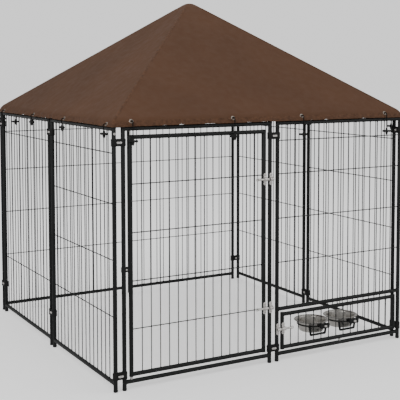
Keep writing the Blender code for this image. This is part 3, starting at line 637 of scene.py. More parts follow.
class CRATE_OT_stage(bpy.types.Operator):
    """Pale floor, soft lights and the camera at the photograph's view."""

    bl_idname = "crate.stage"
    bl_label = "Stage"

    def light(self, name, place, size, watts):
        """Square soft light aimed at the crate's middle."""
        release_all()
        aim = Vector((0, 0, 0.75)) - Vector(place)
        bpy.ops.object.light_add(
            type="AREA", location=place, rotation=aim.to_track_quat("-Z", "Y").to_euler()
        )
        lamp = bpy.context.object
        lamp.name = name
        lamp.data.size = size
        lamp.data.energy = watts

    def execute(self, context):
        release_all()
        bpy.ops.object.camera_add(
            location=CAMERA_PLACE,
            rotation=(math.radians(90 - CAMERA_DOWN), 0.0, math.radians(-CAMERA_LEFT)),
        )
        camera = bpy.context.object
        camera.data.lens = CAMERA_LENS
        camera.data.sensor_width = 36.0
        camera.data.shift_x, camera.data.shift_y = CAMERA_SHIFT
        context.scene.camera = camera

        # The floor sweeps up into the backdrop all round. It glows, so that it shows
        # pale whatever falls on it, and only the camera sees it.
        floor = turned(
            "floor",
            [
                (0.0, -0.0005), (18.0, -0.0005), (22.0, 0.8), (25.0, 4.0), (26.0, 9.0),
                (20.0, 20.0), (0.0, 26.0),
            ],
            48,
        )
        bpy.ops.object.shade_smooth_by_angle(angle=math.radians(60))
        for way in ("diffuse", "glossy", "transmission", "shadow"):
            setattr(floor, "visible_" + way, False)
        tint = (*context.scene.crate_colours.floor, 1.0)
        material, _ = blank(
            "pale_floor", Base_Color=tint, Roughness=0.9, Emission_Color=tint, Emission_Strength=0.7
        )
        floor.data.materials.append(material)

        self.light("key_light", (-3.8, -2.6, 3.6), 2.5, 85)
        self.light("fill_light", (3.0, -3.4, 3.0), 3.0, 40)
        self.light("top_light", (0.0, 0.5, 5.0), 4.0, 40)
        world = bpy.data.worlds.new("studio")
        world.use_nodes = True
        world.node_tree.nodes["Background"].inputs["Color"].default_value = (1, 1, 1, 1)
        world.node_tree.nodes["Background"].inputs["Strength"].default_value = 0.55
        context.scene.world = world
        return {"FINISHED"}


# ---------------------------------------------------------------- welded frames


def weld_bead(reach, rail_r, post_r, bead_r):
    """Bead where a rail that runs along X meets the post at x = reach.

    The rail is nearly as thick as the post, so BEAD_SQUEEZE keeps its sides on the post.
    """
    route = []
    for k in range(24):
        angle = 2 * math.pi * k / 24
        y = rail_r * math.cos(angle)
        x = reach - math.sqrt(post_r**2 - y**2 * BEAD_SQUEEZE)
        route.append((x, y, rail_r * math.sin(angle)))
    return swept("bead", route, bead_r, 1, closed=True)


def wire(reach, rail_r, wire_r):
    """Upright wire of a length, swelling into its weld at both rails."""
    weld = rail_r - 0.0002
    end = [
        (0.0, weld - 0.003), (wire_r * 1.55, weld - 0.003), (wire_r * 1.5, weld + 0.0004),
        (wire_r * 1.15, weld + 0.0016), (wire_r, weld + 0.0032),
    ]
    return turned("wire", end + [(r, reach - z) for r, z in reversed(end)], steps=8)


def wire_count(width, pitch):
    """How many upright wires stand between two tubes."""
    return int((width - pitch) / pitch + 0.0001)


def welded_frame(name, sizes, width, posts, rails, levels=None, pitch=None, wire_y=UPRIGHT_Y):
    """Posts, rails with weld beads, and welded wires from the first of levels to the last.

    posts is (low, high); rails are heights; levels are the rails that hold the
    wires with the level wires between them.
    """
    half = width / 2
    post_r = sizes.post_radius
    rail_r = sizes.rail_radius
    pieces = []
    for x in (-half, half):
        pieces.append(rod("post", (x, 0, posts[0]), (x, 0, posts[1]), post_r, 32, 0.0005))
    bead = weld_bead(half, rail_r, post_r, sizes.weld_radius)
    for z in rails:
        pieces.append(rod("rail", (-half, 0, z), (half, 0, z), rail_r, 32, 0))
        pieces.append(twin(bead, "bead", shift(z=z)))
        pieces.append(twin(bead, "bead", turn(180) @ shift(z=z)))
    scrap(bead)
    if levels:
        pitch = pitch or sizes.wire_pitch
        count = wire_count(width, pitch)
        first = -(count - 1) / 2 * pitch
        upright = wire(levels[-1] - levels[0], rail_r, sizes.wire_radius)
        upright.data.transform(shift(first, wire_y, levels[0]))
        pieces.append(arrayed(upright, count, (pitch, 0, 0)))
        for z in levels[1:-1]:
            level = wire(width, post_r, sizes.wire_radius)
            level.data.transform(shift(-half, wire_y + LEVEL_BEHIND, z) @ turn(90, "Y"))
            pieces.append(level)
    return joined(name, pieces)


def wire_rows(low, high, shares):
    """Heights of the wires, with the rails' own heights first and last."""
    return (low, *(low + share * (high - low) for share in shares), high)


class CRATE_OT_fence(bpy.types.Operator):
    """Eight fence panels of welded tube and wire."""

    bl_idname = "crate.fence"
    bl_label = "Fence panels"

    def execute(self, context):
        sizes = context.scene.crate_sizes
        # The plugs fill the last few millimetres of each post.
        posts = (0.003, POST_HEIGHT - 0.002)
        rails = (BOTTOM_RAIL_Z, TOP_RAIL_Z)
        masters = {
            "plain": welded_frame(
                "plain", sizes, PANEL_WIDTH, posts, rails, wire_rows(*rails, PANEL_LEVELS)
            ),
            "panel_left_rear": welded_frame(
                "sparse", sizes, PANEL_WIDTH, posts, rails, wire_rows(*rails, REAR_LEFT_LEVELS)
            ),
            "door_panel": welded_frame("doorway", sizes, PANEL_WIDTH, posts, rails),
            "bowl_panel": welded_frame(
                "over_gate", sizes, PANEL_WIDTH, posts, (BOTTOM_RAIL_Z, MID_RAIL_Z, TOP_RAIL_Z),
                wire_rows(MID_RAIL_Z, TOP_RAIL_Z, BOWL_PANEL_LEVELS),
            ),
        }
        for node, (side, slot) in PANELS.items():
            master = masters.get(node, masters["plain"])
            piece = twin(master, node + "_welded", panel_place(side, slot))
            nodes = [node, "bowl_panel_wires"] if node == "bowl_panel" else [node]
            file_piece(piece, "fence", "black_coat", nodes)
        scrap(*masters.values())
        return {"FINISHED"}


class CRATE_OT_plugs(bpy.types.Operator):
    """Moulded plugs in the ends of the posts, and bushes round the roof spars."""

    bl_idname = "crate.plugs"
    bl_label = "Post plugs"

    def execute(self, context):
        radius = context.scene.crate_sizes.post_radius
        foot = turned(
            "foot",
            [
                (0.0, 0.0003), (radius * 0.62, 0.0), (radius * 0.92, 0.0005),
                (radius * 1.03, 0.0018), (radius * 1.06, 0.0034), (radius * 1.06, 0.0080),
                (radius * 1.02, 0.0088), (radius * 0.90, 0.0092), (0.0, 0.0092),
            ],
            28,
        )
        cap = twin(foot, "cap", shift(z=POST_HEIGHT + 0.0022) @ turn(180, "X"))
        spar_r = context.scene.crate_sizes.spar_radius
        bush = turned(
            "bush",
            [
                (spar_r + 0.0001, -0.006), (radius * 1.05, -0.006), (radius * 1.05, 0.0004),
                (radius * 0.98, 0.0016), (spar_r + 0.0006, 0.0022), (spar_r + 0.0001, 0.0016),
            ],
            28, shift(z=POST_HEIGHT), closed=True,
        )
        half = PANEL_WIDTH / 2
        for node, (side, slot) in PANELS.items():
            pieces = [
                twin(foot, "foot", shift(-half)), twin(foot, "foot", shift(half)),
                twin(cap, "cap", shift(-half)),
                twin(bush if slot == 1 else cap, "cap", shift(half)),
            ]
            piece = joined("post_plugs_" + node, pieces)
            piece.data.transform(panel_place(side, slot))
            file_piece(piece, "fence", "black_shell")
        scrap(foot, cap, bush)
        return {"FINISHED"}


class CRATE_OT_door(bpy.types.Operator):
    """Door of welded tube and wire, with plugs in its uprights."""

    bl_idname = "crate.door"
    bl_label = "Door"

    def execute(self, context):
        sizes = context.scene.crate_sizes
        low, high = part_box("door")
        radius = sizes.post_radius
        rails = (low.z + radius, high.z - radius)
        door = welded_frame(
            "door_welded", sizes, DOOR_WIDTH, (low.z + 0.0008, high.z - 0.0008), rails,
            wire_rows(*rails, DOOR_LEVELS), sizes.door_wire_pitch,
        )
        place = panel_place(0, 0)
        door.data.transform(place)
        file_piece(door, "door", "black_coat", ["door"])
        dome = turned(
            "dome",
            [
                (0.0, 0.0), (radius * 0.70, 0.0), (radius * 0.98, 0.0006), (radius * 1.04, 0.0018),
                (radius * 1.04, 0.0042), (radius * 0.98, 0.0048), (0.0, 0.0048),
            ],
            24,
        )
        pieces = []
        for x in (-DOOR_WIDTH / 2, DOOR_WIDTH / 2):
            pieces.append(twin(dome, "dome", shift(x, 0, low.z)))
            pieces.append(twin(dome, "dome", shift(x, 0, high.z) @ turn(180, "X")))
        plugs = joined("door_plugs", pieces)
        plugs.data.transform(place)
        file_piece(plugs, "door", "black_shell")
        scrap(dome)
        return {"FINISHED"}


class CRATE_OT_gate(bpy.types.Operator):
    """Low gate that turns under the bowl panel's middle rail."""

    bl_idname = "crate.gate"
    bl_label = "Bowl gate"

    def execute(self, context):
        sizes = context.scene.crate_sizes
        low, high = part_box("bowl_gate")
        radius = sizes.post_radius
        rails = (low.z + radius, high.z - radius)
        gate = welded_frame(
            "bowl_gate_welded", sizes, GATE_WIDTH, (low.z, high.z), rails, rails, sizes.wire_pitch,
            wire_y=0.0,
        )
        gate.data.transform(panel_place(0, 1))
        file_piece(gate, "gate", "black_coat", ["bowl_gate"])
        return {"FINISHED"}


class CRATE_OT_pins(bpy.types.Operator):
    """Zinc pivot pins of the door and the gate."""

    bl_idname = "crate.pins"
    bl_label = "Pivot pins"

    def execute(self, context):
        for node in ("door_pin_top", "door_pin_bottom", "gate_pin_top", "gate_pin_bottom"):
            low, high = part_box(node)
            x, y, _ = middle(node)
            profile = [(0.0, 0.0), (PIN_R - 0.0005, 0.0), (PIN_R, 0.0005)]
            if node.endswith("bottom"):
                # The collar that the frame rests on.
                base = BOTTOM_RAIL_Z + SOLID_TUBE_R - low.z
                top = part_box("door" if "door" in node else "bowl_gate")[0].z - low.z
                profile += [
                    (PIN_R, base), (0.0050, base), (0.0055, base + 0.0005), (0.0055, top - 0.0008),
                    (0.0050, top - 0.0003), (PIN_R, top - 0.0003),
                ]
            tall = high.z - low.z
            profile += [(PIN_R, tall - 0.0006), (0.0021, tall), (0.0, tall)]
            pin = turned(node + "_turned", profile, 20, shift(x, y, low.z))
            file_piece(pin, "fence", "zinc", [node])
        return {"FINISHED"}


# ---------------------------------------------------------------- fasteners


def pan_head(radius, height):
    """Pan head with a cross recess, seated on z = 0 and rising to its height."""
    head = turned(
        "head",
        [
            (0.0, -0.0006), (radius, -0.0006), (radius, height * 0.30),
            (radius * 0.94, height * 0.62), (radius * 0.78, height * 0.88), (radius * 0.50, height),
            (0.0, height),
        ],
        20,
    )
    slot = radius * 0.14
    arm = radius * 0.58
    outline = [(slot, slot), (slot, arm), (-slot, arm)]
    for _ in range(3):
        outline += [(-z, x) for x, z in outline[-3:]]
    cross = plate("cross", outline, -height * 1.3, -height * 0.45, 0)
    cross.data.transform(turn(-90, "X"))
    edit(cross)
    bpy.ops.mesh.normals_make_consistent(inside=False)
    take(head)
    cut = head.modifiers.new("recess", "BOOLEAN")
    cut.operation = "DIFFERENCE"
    cut.solver = "EXACT"
    cut.object = cross
    bpy.ops.object.modifier_apply(modifier=cut.name)
    scrap(cross)
    return head


def oblong_head(width, height, thick):
    """Bolt head with round ends, its back on y = 0 and its face towards -Y."""
    reach = width / 2 - height / 2
    outline = arc(reach, 0, height / 2, -90, 90, 8) + arc(-reach, 0, height / 2, 90, 270, 8)
    head = plate("head", outline, -thick, 0.0, 0)
    edit(head, "FACE")
    pick(head, "faces", lambda f: f.calc_center_median().y < -thick * 0.9)
    bpy.ops.mesh.inset(thickness=height * 0.16)
    bpy.ops.transform.translate(value=(0, -thick * 0.12, 0))
    bpy.ops.mesh.inset(thickness=height * 0.10)
    bpy.ops.transform.translate(value=(0, thick * 0.22, 0))
    bpy.ops.mesh.select_mode(type="EDGE")
    pick(head, "edges", lambda e: all(abs(v.co.y + thick) < 1e-6 for v in e.verts))
    bpy.ops.mesh.bevel(offset=thick * 0.16, segments=2, affect="EDGES")
    return welded(head)


class CRATE_OT_clamps(bpy.types.Operator):
    """Sixteen moulded clamps that join the posts, each with a zinc bolt."""

    bl_idname = "crate.clamps"
    bl_label = "Clamps"

    def shell(self):
        """Moulded shell round two posts, its middle pinched by the bolt."""
        tall = 0.028
        half = POST_PITCH / 2
        lobe = 0.0111
        waist = 0.0070
        start = math.degrees(math.asin(waist / lobe))
        outline = arc(half, 0, lobe, -180 + start, 180 - start, 20)
        outline += arc(-half, 0, lobe, start, 360 - start, 20)
        band = plate("band", outline, -tall / 2, tall / 2, 0)
        band.data.transform(turn(-90, "X"))
        edit(band, "EDGE")
        bpy.ops.mesh.normals_make_consistent(inside=False)
        pick(band, "edges", lambda e: abs(e.verts[0].co.z - e.verts[1].co.z) < 1e-7)
        bpy.ops.mesh.bevel(offset=0.0016, segments=3, affect="EDGES")
        bpy.ops.object.mode_set(mode="OBJECT")
        pieces = [band]
        for sign in (-1, 1):
            # Ribs that stiffen each lobe, above and below the bolt.
            for z in (-0.0085, 0.0085):
                rib = turned(
                    "rib",
                    [
                        (lobe - 0.0008, z - 0.0015), (lobe + 0.0005, z - 0.0011),
                        (lobe + 0.0008, z), (lobe + 0.0005, z + 0.0011),
                        (lobe - 0.0008, z + 0.0015),
                    ],
                    28, shift(sign * half), closed=True,
                )
                pieces.append(rib)
        boss = plate(
            "boss", rounded_box(0.0285, 0.0135, 0.0030, 4), -waist - 0.0006, -waist + 0.002, 0.0004
        )
        nut = turned(
            "nut",
            [
                (0.0, 0.0), (0.0058, 0.0), (0.0062, 0.0008), (0.0062, 0.0022), (0.0056, 0.0030),
                (0.0, 0.0030),
            ],
            6, shift(y=waist - 0.0005) @ turn(-90, "X"),
        )
        shell = joined("shell", [*pieces, boss])
        return shell, nut

    def execute(self, context):
        shell, nut = self.shell()
        head = oblong_head(0.0225, 0.0078, 0.0034)
        head.data.transform(shift(y=-0.0074))
        bolt = joined("bolt", [head, nut])
        half = POST_PITCH / 2
        corners = ("front_left", "front_right", "back_right", "back_left")
        for side in range(4):
            for where, x in ((corners[side], -PANEL_WIDTH - half), (SIDES[side] + "_mid", half)):
                for level in ("top", "bottom"):
                    node = f"clamp_{where}_{level}"
                    place = turn(90 * side) @ shift(x, -HALF, middle(node)[2])
                    piece = twin(shell, node + "_shell", place)
                    file_piece(piece, "fence", "black_shell", [node])
                    piece = twin(bolt, node + "_bolt", place)
                    file_piece(piece, "fence", "zinc")
        scrap(shell, bolt)
        return {"FINISHED"}


class CRATE_OT_latches(bpy.types.Operator):
    """Slide latches: guide and keeper saddles with their screws, and the bolts."""

    bl_idname = "crate.latches"
    bl_label = "Slide latches"

    def saddle(self):
        """Saddle plate with a sleeve across it, in its own frame."""
        lobe = 0.0077
        reach = LATCH_SCREW_Z
        outline = arc(0, reach, lobe, -35, 215, 12)
        outline += [(-0.0062, 0.0095), (-0.0062, -0.0095)]
        outline += arc(0, -reach, lobe, 145, 395, 12)
        outline += [(0.0062, -0.0095), (0.0062, 0.0095)]
        leaf = plate("leaf", outline, LATCH_FRONT, LATCH_BACK, 0.0005)
        axis = LATCH_AXIS_Y + HALF
        sleeve = turned(
            "sleeve", mirrored([(0.0048, -0.0078), (0.0070, -0.0080), (0.0080, -0.0071)]), 28,
            shift(y=axis) @ turn(90, "Y"), closed=True,
        )
        wing = plate(
            "wing", rounded_box(0.0152, 0.0220, 0.0024, 3), axis + 0.0052, LATCH_BACK - 0.0010,
            0.0006,
        )
        return joined("saddle", [leaf, sleeve, wing])

    def execute(self, context):
        saddle = self.saddle()
        screw = pan_head(0.0034, 0.0019)
        screws = joined(
            "screws",
            [
                twin(screw, "screw", shift(0, LATCH_FRONT, z) @ turn(90, "X") @ turn(20))
                for z in (-LATCH_SCREW_Z, LATCH_SCREW_Z)
            ],
        )
        for key, body in (("door", "door"), ("gate", "gate")):
            levels = ("_upper", "_lower") if key == "door" else ("",)
            for level in levels:
                for role, owner in (("guide", body), ("keeper", "fence")):
                    node = f"{key}_{role}{level}"
                    x, _, z = middle(node)
                    place = shift(x, -HALF, z)
                    piece = twin(saddle, node + "_saddle", place)
                    file_piece(piece, owner, "zinc", [node])
                    piece = twin(screws, node + "_screws", place)
                    file_piece(piece, owner, "zinc")
                self.bolt(f"{key}_bolt{level}")
        scrap(saddle, screw, screws)
        return {"FINISHED"}

    def bolt(self, node):
        """Round bolt with a domed tip and a pull ring through its tail."""
        low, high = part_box(node)
        z = middle(node)[2]
        ring_r = 0.0050
        ring_wire = 0.0015
        to_right = node.startswith("door")
        way = 1.0 if to_right else -1.0
        ring_x = (low.x if to_right else high.x) + way * (ring_r + ring_wire)
        tip_x = high.x if to_right else low.x
        tail = ring_x + way * ring_r
        span = abs(tip_x - tail)
        shaft = turned(
            "shaft",
            [
                (0.0, -0.0012), (0.0032, -0.0010), (0.0043, 0.0002), (0.0043, span - 0.0020),
                (0.0035, span - 0.0006), (0.0020, span), (0.0, span),
            ],
            24, shift(tail, LATCH_AXIS_Y, z) @ turn(way * 90, "Y"),
        )
        ring = turned(
            "ring", [(ring_r + x, y) for x, y in arc(0, 0, ring_wire, 0, 330, 11)], 36,
            shift(ring_x, LATCH_AXIS_Y, z) @ turn(90, "X"), closed=True,
        )
        collar = turned(
            "collar", mirrored([(0.0, -0.0013), (0.0052, -0.0013), (0.0057, -0.0007)]),
            24, shift(tail, LATCH_AXIS_Y, z) @ turn(way * 90, "Y"),
        )
        piece = joined(node + "_turned", [shaft, ring, collar])
        file_piece(piece, node, "zinc", [node])


# ---------------------------------------------------------------- roof


def hip_rows():
    """Rows of the canopy down a hip: (radius, height, share of the eave's bend)."""
    rows = []
    for k in range(PEAK_ROWS + 1):
        r = PEAK_ROUND * k / PEAK_ROWS
        drop = HIP_SLOPE * (PEAK_ROUND**2 + r**2) / (2 * PEAK_ROUND)
        rows.append((r, PEAK_Z - drop, 0.0))
    last_r = EAVE_CENTRE_R + EAVE_BEND * math.cos(EAVE_TURN)
    for k in range(1, SLOPE_ROWS + 1):
        r = PEAK_ROUND + (last_r - PEAK_ROUND) * k / SLOPE_ROWS
        rows.append((r, PEAK_Z - HIP_SLOPE * r, 0.0))
    hem = math.asin((HEM_Z - EAVE_CENTRE_Z) / EAVE_BEND)
    for k in range(1, EAVE_ROWS + 1):
        share = k / EAVE_ROWS
        angle = EAVE_TURN + (hem - EAVE_TURN) * share
        r = EAVE_CENTRE_R + EAVE_BEND * math.cos(angle)
        rows.append((r, EAVE_CENTRE_Z + EAVE_BEND * math.sin(angle), share))
    return rows


def scallop(x, side):
    """0 at the ties and beyond the outer ones, 1 midway between two ties."""
    for here, there in zip(TIE_PLACES[side], TIE_PLACES[side][1:]):
        if here < x < there:
            return math.sin(math.pi * (x - here) / (there - here)) ** 2
    return 0.0


def on_row(row, rows):
    """Radius, height, share of the eave and hip angle at a row, whole or not."""
    low = min(int(row), len(rows) - 2)
    part = row - low
    r, z, eave = (a + (b - a) * part for a, b in zip(rows[low], rows[low + 1]))
    angle = EAVE_TURN
    if r < PEAK_ROUND:
        angle = math.pi / 2 - math.atan(HIP_SLOPE * r / PEAK_ROUND)
    elif r > EAVE_CENTRE_R + EAVE_BEND * math.cos(EAVE_TURN):
        angle = math.acos(min((r - EAVE_CENTRE_R) / EAVE_BEND, 1.0))
    return r, z, eave, angle


def places_across(row, rows):
    """Where the sheet's columns lie across a face, close together at the hips."""
    half = on_row(row, rows)[0] / math.sqrt(2.0)
    steps = (0.0, 0.002, 0.004, 0.0065, 0.009, 0.012)
    near = [min(step, half * 0.05 * k) for k, step in enumerate(steps)]
    inner = half - near[-1]
    middle = [-inner + 2 * inner * k / CLOTH_PLACES for k in range(1, CLOTH_PLACES)]
    left = [-half + t for t in near]
    return left + middle + [-x for x in reversed(left)]


def cloth_point(x, row, rows, side):
    """Point of the canopy on the front face, with its sag, folds, fillets and hem."""
    r, z, eave, angle = on_row(row, rows)
    half = r / math.sqrt(2.0)
    from_hip = max(half - abs(x), 0.0)
    across = min(abs(x) / half, 1.0) if half else 0.0
    y = -half
    eave_z = PEAK_Z - HIP_SLOPE * (EAVE_R - EAVE_BEND)
    down = min(max((PEAK_Z - z) / (PEAK_Z - eave_z), 0.0), 1.0)
    # Slack between the hips, and the slow unevenness of stretched cloth.
    z -= CLOTH_SAG * (1.0 - across**2) * math.sin(math.pi * down)
    free = min(from_hip / 0.12, 1.0) ** 1.5 * math.sqrt(max(math.sin(math.pi * down), 0.0))
    z += 0.0030 * free * noise.noise(Vector((x * 4.0, side * 7.3, z * 6.0)))
    z += 0.0012 * free * noise.noise(Vector((x * 13.0, side * 3.1 + 5.0, z * 15.0)))
    # The hem lifts and flares between the ties, and puckers along its edge.
    lift = scallop(x, side) ** 0.5 * eave**2
    wave = noise.noise(Vector((x * 42.0, side * 5.3, 2.0)))
    wave += 0.5 * noise.noise(Vector((x * 9.0, side * 2.7, 4.0)))
    z += 0.0014 * lift + 0.0085 * lift * max(wave, 0.0)
    y -= 0.0014 * lift
    clear = min(from_hip / 0.05, 1.0)
    edge = clear * max(eave * 1.6 - 0.6, 0.0)
    y -= 0.0011 * edge * (0.5 + noise.noise(Vector((x * 55.0, side * 9.7, 0.0))))
    # Folds that run up from each tie, tight at the eyelet.
    for tie in TIE_PLACES[side]:
        off = x - tie
        reach = 0.022 + 0.10 * (1.0 - eave)
        fade = math.exp(-((off / reach) ** 2)) * eave**0.6 * (1.0 - eave) ** 0.35
        y += 0.0030 * clear * fade * math.cos(off / reach * 4.4)
    # Hips are rounded by the sheet's own stiffness.
    face = math.atan2(math.tan(min(angle, 1.55)), math.sqrt(2.0))
    bend = math.acos(math.sin(face) ** 2) / 2
    reach = HIP_ROUND * math.tan(bend)
    if from_hip < reach:
        inward = HIP_ROUND * (1.0 / math.cos(bend) - 1.0) * (1.0 - from_hip / reach) ** 2
        z -= inward * math.sin(angle)
        y += inward * math.cos(angle) / math.sqrt(2.0)
        x -= math.copysign(inward * math.cos(angle) / math.sqrt(2.0), x)
    return Vector((x, y, z))


def cloth_frame(x, height, rows, side):
    """Point of the eave at a place along the side and a height, and the way out of the cloth."""
    top = len(rows) - 1 - EAVE_ROWS
    steps = [top + k * 0.02 for k in range(int(EAVE_ROWS / 0.02))]
    row = min(steps, key=lambda value: abs(cloth_point(x, value, rows, side).z - height))
    here = cloth_point(x, row, rows, side)
    along = cloth_point(x + 0.004, row, rows, side) - cloth_point(x - 0.004, row, rows, side)
    up = cloth_point(x, row - 0.5, rows, side) - cloth_point(x, row + 0.5, rows, side)
    return here, along.cross(up).normalized()


def lay_cloth(obj, rows):
    """UV map in metres of cloth: across the face and down it."""
    layer = obj.data.uv_layers.active
    run = [0.0]
    for (r0, z0, _), (r1, z1, _) in zip(rows, rows[1:]):
        run.append(run[-1] + math.hypot((r1 - r0) / math.sqrt(2.0), z1 - z0))
    columns = len(places_across(1, rows))
    places = [places_across(k, rows) for k in range(len(rows))]
    for loop in obj.data.loops:
        row = loop.vertex_index // columns
        layer.data[loop.index].uv = (places[row][loop.vertex_index % columns], run[row])


class CRATE_OT_canopy(bpy.types.Operator):
    """Canopy: one sheet over four faces, with its hem and hip seams."""

    bl_idname = "crate.canopy"
    bl_label = "Canopy"

    def face(self, side, rows):
        """One face of the sheet, a grid shaped row by row."""
        columns = len(places_across(1, rows))
        release_all()
        bpy.ops.mesh.primitive_grid_add(
            x_subdivisions=columns - 1, y_subdivisions=len(rows) - 1, size=1.0, location=(0, 0, 1)
        )
        obj = bpy.context.object
        bpy.ops.object.transform_apply(location=True, rotation=True, scale=True)
        places = [places_across(k, rows) for k in range(len(rows))]
        for vert in obj.data.vertices:
            row, column = divmod(vert.index, columns)
            vert.co = cloth_point(places[row][column], row, rows, side)
        lay_cloth(obj, rows)
        obj.data.transform(turn(90 * side))
        return obj

    def shell(self, obj, thick, way):
        """Give a sheet its thickness, inwards (-1) or outwards (1)."""
        take(obj)
        cloth = obj.modifiers.new("cloth", "SOLIDIFY")
        cloth.thickness = thick
        cloth.offset = way
        bpy.ops.object.modifier_apply(modifier=cloth.name)
        return obj

    def strip(self, sheet, name, keep, thick):
        """Second layer of cloth over part of the sheet, folded and sewn down."""
        layer = twin(sheet, name)
        edit(layer, "FACE")
        pick(layer, "faces", lambda f: not keep(f.calc_center_median()))
        bpy.ops.mesh.delete(type="FACE")
        bpy.ops.object.mode_set(mode="OBJECT")
        self.shell(layer, thick, 1.0)
        return file_piece(layer, "fence", "sewn_cloth", angle=60)

    def execute(self, context):
        sizes = context.scene.crate_sizes
        rows = hip_rows()
        sheet = joined("canopy_sheet", [self.face(side, rows) for side in range(4)])
        edit(sheet)
        bpy.ops.mesh.remove_doubles(threshold=0.00005)
        bpy.ops.mesh.normals_make_consistent(inside=False)
        bpy.ops.object.mode_set(mode="OBJECT")
        if sum(face.normal.z * face.area for face in sheet.data.polygons) < 0:
            edit(sheet)
            bpy.ops.mesh.flip_normals()
            bpy.ops.object.mode_set(mode="OBJECT")
        top_of_hem = HEM_Z + sizes.hem_width

        def in_hem(co):
            return co.z < top_of_hem

        def on_hip(co):
            near = abs(abs(co.x) - abs(co.y)) < HIP_SEAM
            return near and not in_hem(co) and co.z < PEAK_Z - PEAK_ROUND - 0.001

        hem = self.strip(sheet, "canopy_hem", in_hem, 0.0008)
        seams = self.strip(sheet, "canopy_hip_seams", on_hip, 0.0006)
        self.shell(sheet, sizes.cloth_thickness, -1.0)
        file_piece(sheet, "fence", "canopy_cloth", ["canopy"], angle=60)
        # Four gores, each a triangle 1.41 m wide, cut head to tail from one width of cloth.
        return {"FINISHED"}


class CRATE_OT_ties(bpy.types.Operator):
    """Sixteen canopy ties: an eyelet, an elastic cord and a toggle each."""

    bl_idname = "crate.ties"
    bl_label = "Canopy ties"

    # Each toggle's turn about its cord, in degrees, and its height, side by side from the front.
    turns = ((-28, -34, -24, -31), (15, -40, 65, 5), (-25, 50, 10, -28), (40, 14, 8, 17))
    heights = (
        (0.9550, 0.9570, 0.9530, 0.9510), (0.9640, 0.9700, 0.9600, 0.9660),
        (0.9650, 0.9720, 0.9700, 0.9570), (0.9800, 0.9850, 0.9820, 0.9820),
    )

    def eyelet(self):
        """Rolled eyelet about Z, seated on z = 0."""
        outer = 0.0092
        inner = 0.0042
        return turned(
            "eyelet",
            [
                (outer, -0.0006), (outer, 0.0004), (outer - 0.0009, 0.0013),
                ((outer + inner) / 2, 0.0019), (inner + 0.0008, 0.0014), (inner, 0.0003),
                (inner, -0.0016), (inner + 0.0008, -0.0022), (outer - 0.0014, -0.0022),
                (outer - 0.0006, -0.0014),
            ],
            32, closed=True,
        )

    def toggle(self):
        """Moulded T toggle: a cross bar, a neck for the cord and a pointed tail."""
        bar = turned(
            "bar",
            mirrored(
                [
                    (0.0, -0.0190), (0.0026, -0.0188), (0.0042, -0.0176), (0.0048, -0.0155),
                    (0.0046, -0.0110),
                ],
                [(0.0043, 0.0)],
            ),
            20, turn(90, "Y"),
        )
        tail = turned(
            "tail",
            [
                (0.0, -0.0170), (0.0020, -0.0166), (0.0044, -0.0125), (0.0058, -0.0070),
                (0.0060, -0.0020), (0.0052, 0.0040), (0.0042, 0.0090), (0.0038, 0.0120),
                (0.0031, 0.0128), (0.0, 0.0128),
            ],
            20,
        )
        return joined("toggle", [bar, tail])

    def route(self, hole, out, drop):
        """Path of a cord: out of the eyelet, over its rim and down to the toggle."""
        lean = math.atan2(out.z, -out.y)
        radius = 0.0078
        side = Vector((0, -math.sin(lean), -math.cos(lean)))
        centre = hole + out * 0.0040 + side * radius
        points = [hole - out * 0.0010, hole + out * 0.0018]
        for k in range(11):
            angle = (lean + math.pi / 2) * k / 10
            points.append(centre + (out * math.sin(angle) - side * math.cos(angle)) * radius)
        end = points[-1]
        for k in range(1, 9):
            share = k / 8
            ease = share * share * (3 - 2 * share)
            y = end.y + (TOGGLE_Y - end.y) * ease
            points.append(Vector((end.x, y, end.z + (drop - end.z) * share)))
        return points

    def execute(self, context):
        sizes = context.scene.crate_sizes
        rows = hip_rows()
        eyelet = self.eyelet()
        toggle = self.toggle()
        for side in range(4):
            for k, x in enumerate(TIE_PLACES[side]):
                key = f"{SIDES[side]}_{k + 1}"
                place = turn(90 * side)
                hole, out = cloth_frame(x, EYELET_Z[side], rows, side)
                aim = out.to_track_quat("Z", "Y").to_matrix().to_4x4()
                seat = shift(*(hole + out * 0.0009)) @ aim
                ring = twin(eyelet, "tie_eyelet_" + key, place @ seat)
                file_piece(ring, "fence", "eyelet")
                points = self.route(hole, out, self.heights[side][k] + CORD_IN_TOGGLE)
                path = [place @ p for p in points]
                cord = swept("tie_cord_" + key, path, sizes.tie_cord / 2, 3)
                file_piece(cord, "fence", "elastic")
                end = points[-1]
                seat = shift(end.x, end.y, end.z - CORD_IN_TOGGLE) @ turn(self.turns[side][k])
                knob = twin(toggle, "tie_toggle_" + key, place @ seat)
                file_piece(knob, "fence", "black_shell")
        scrap(eyelet, toggle)
        return {"FINISHED"}


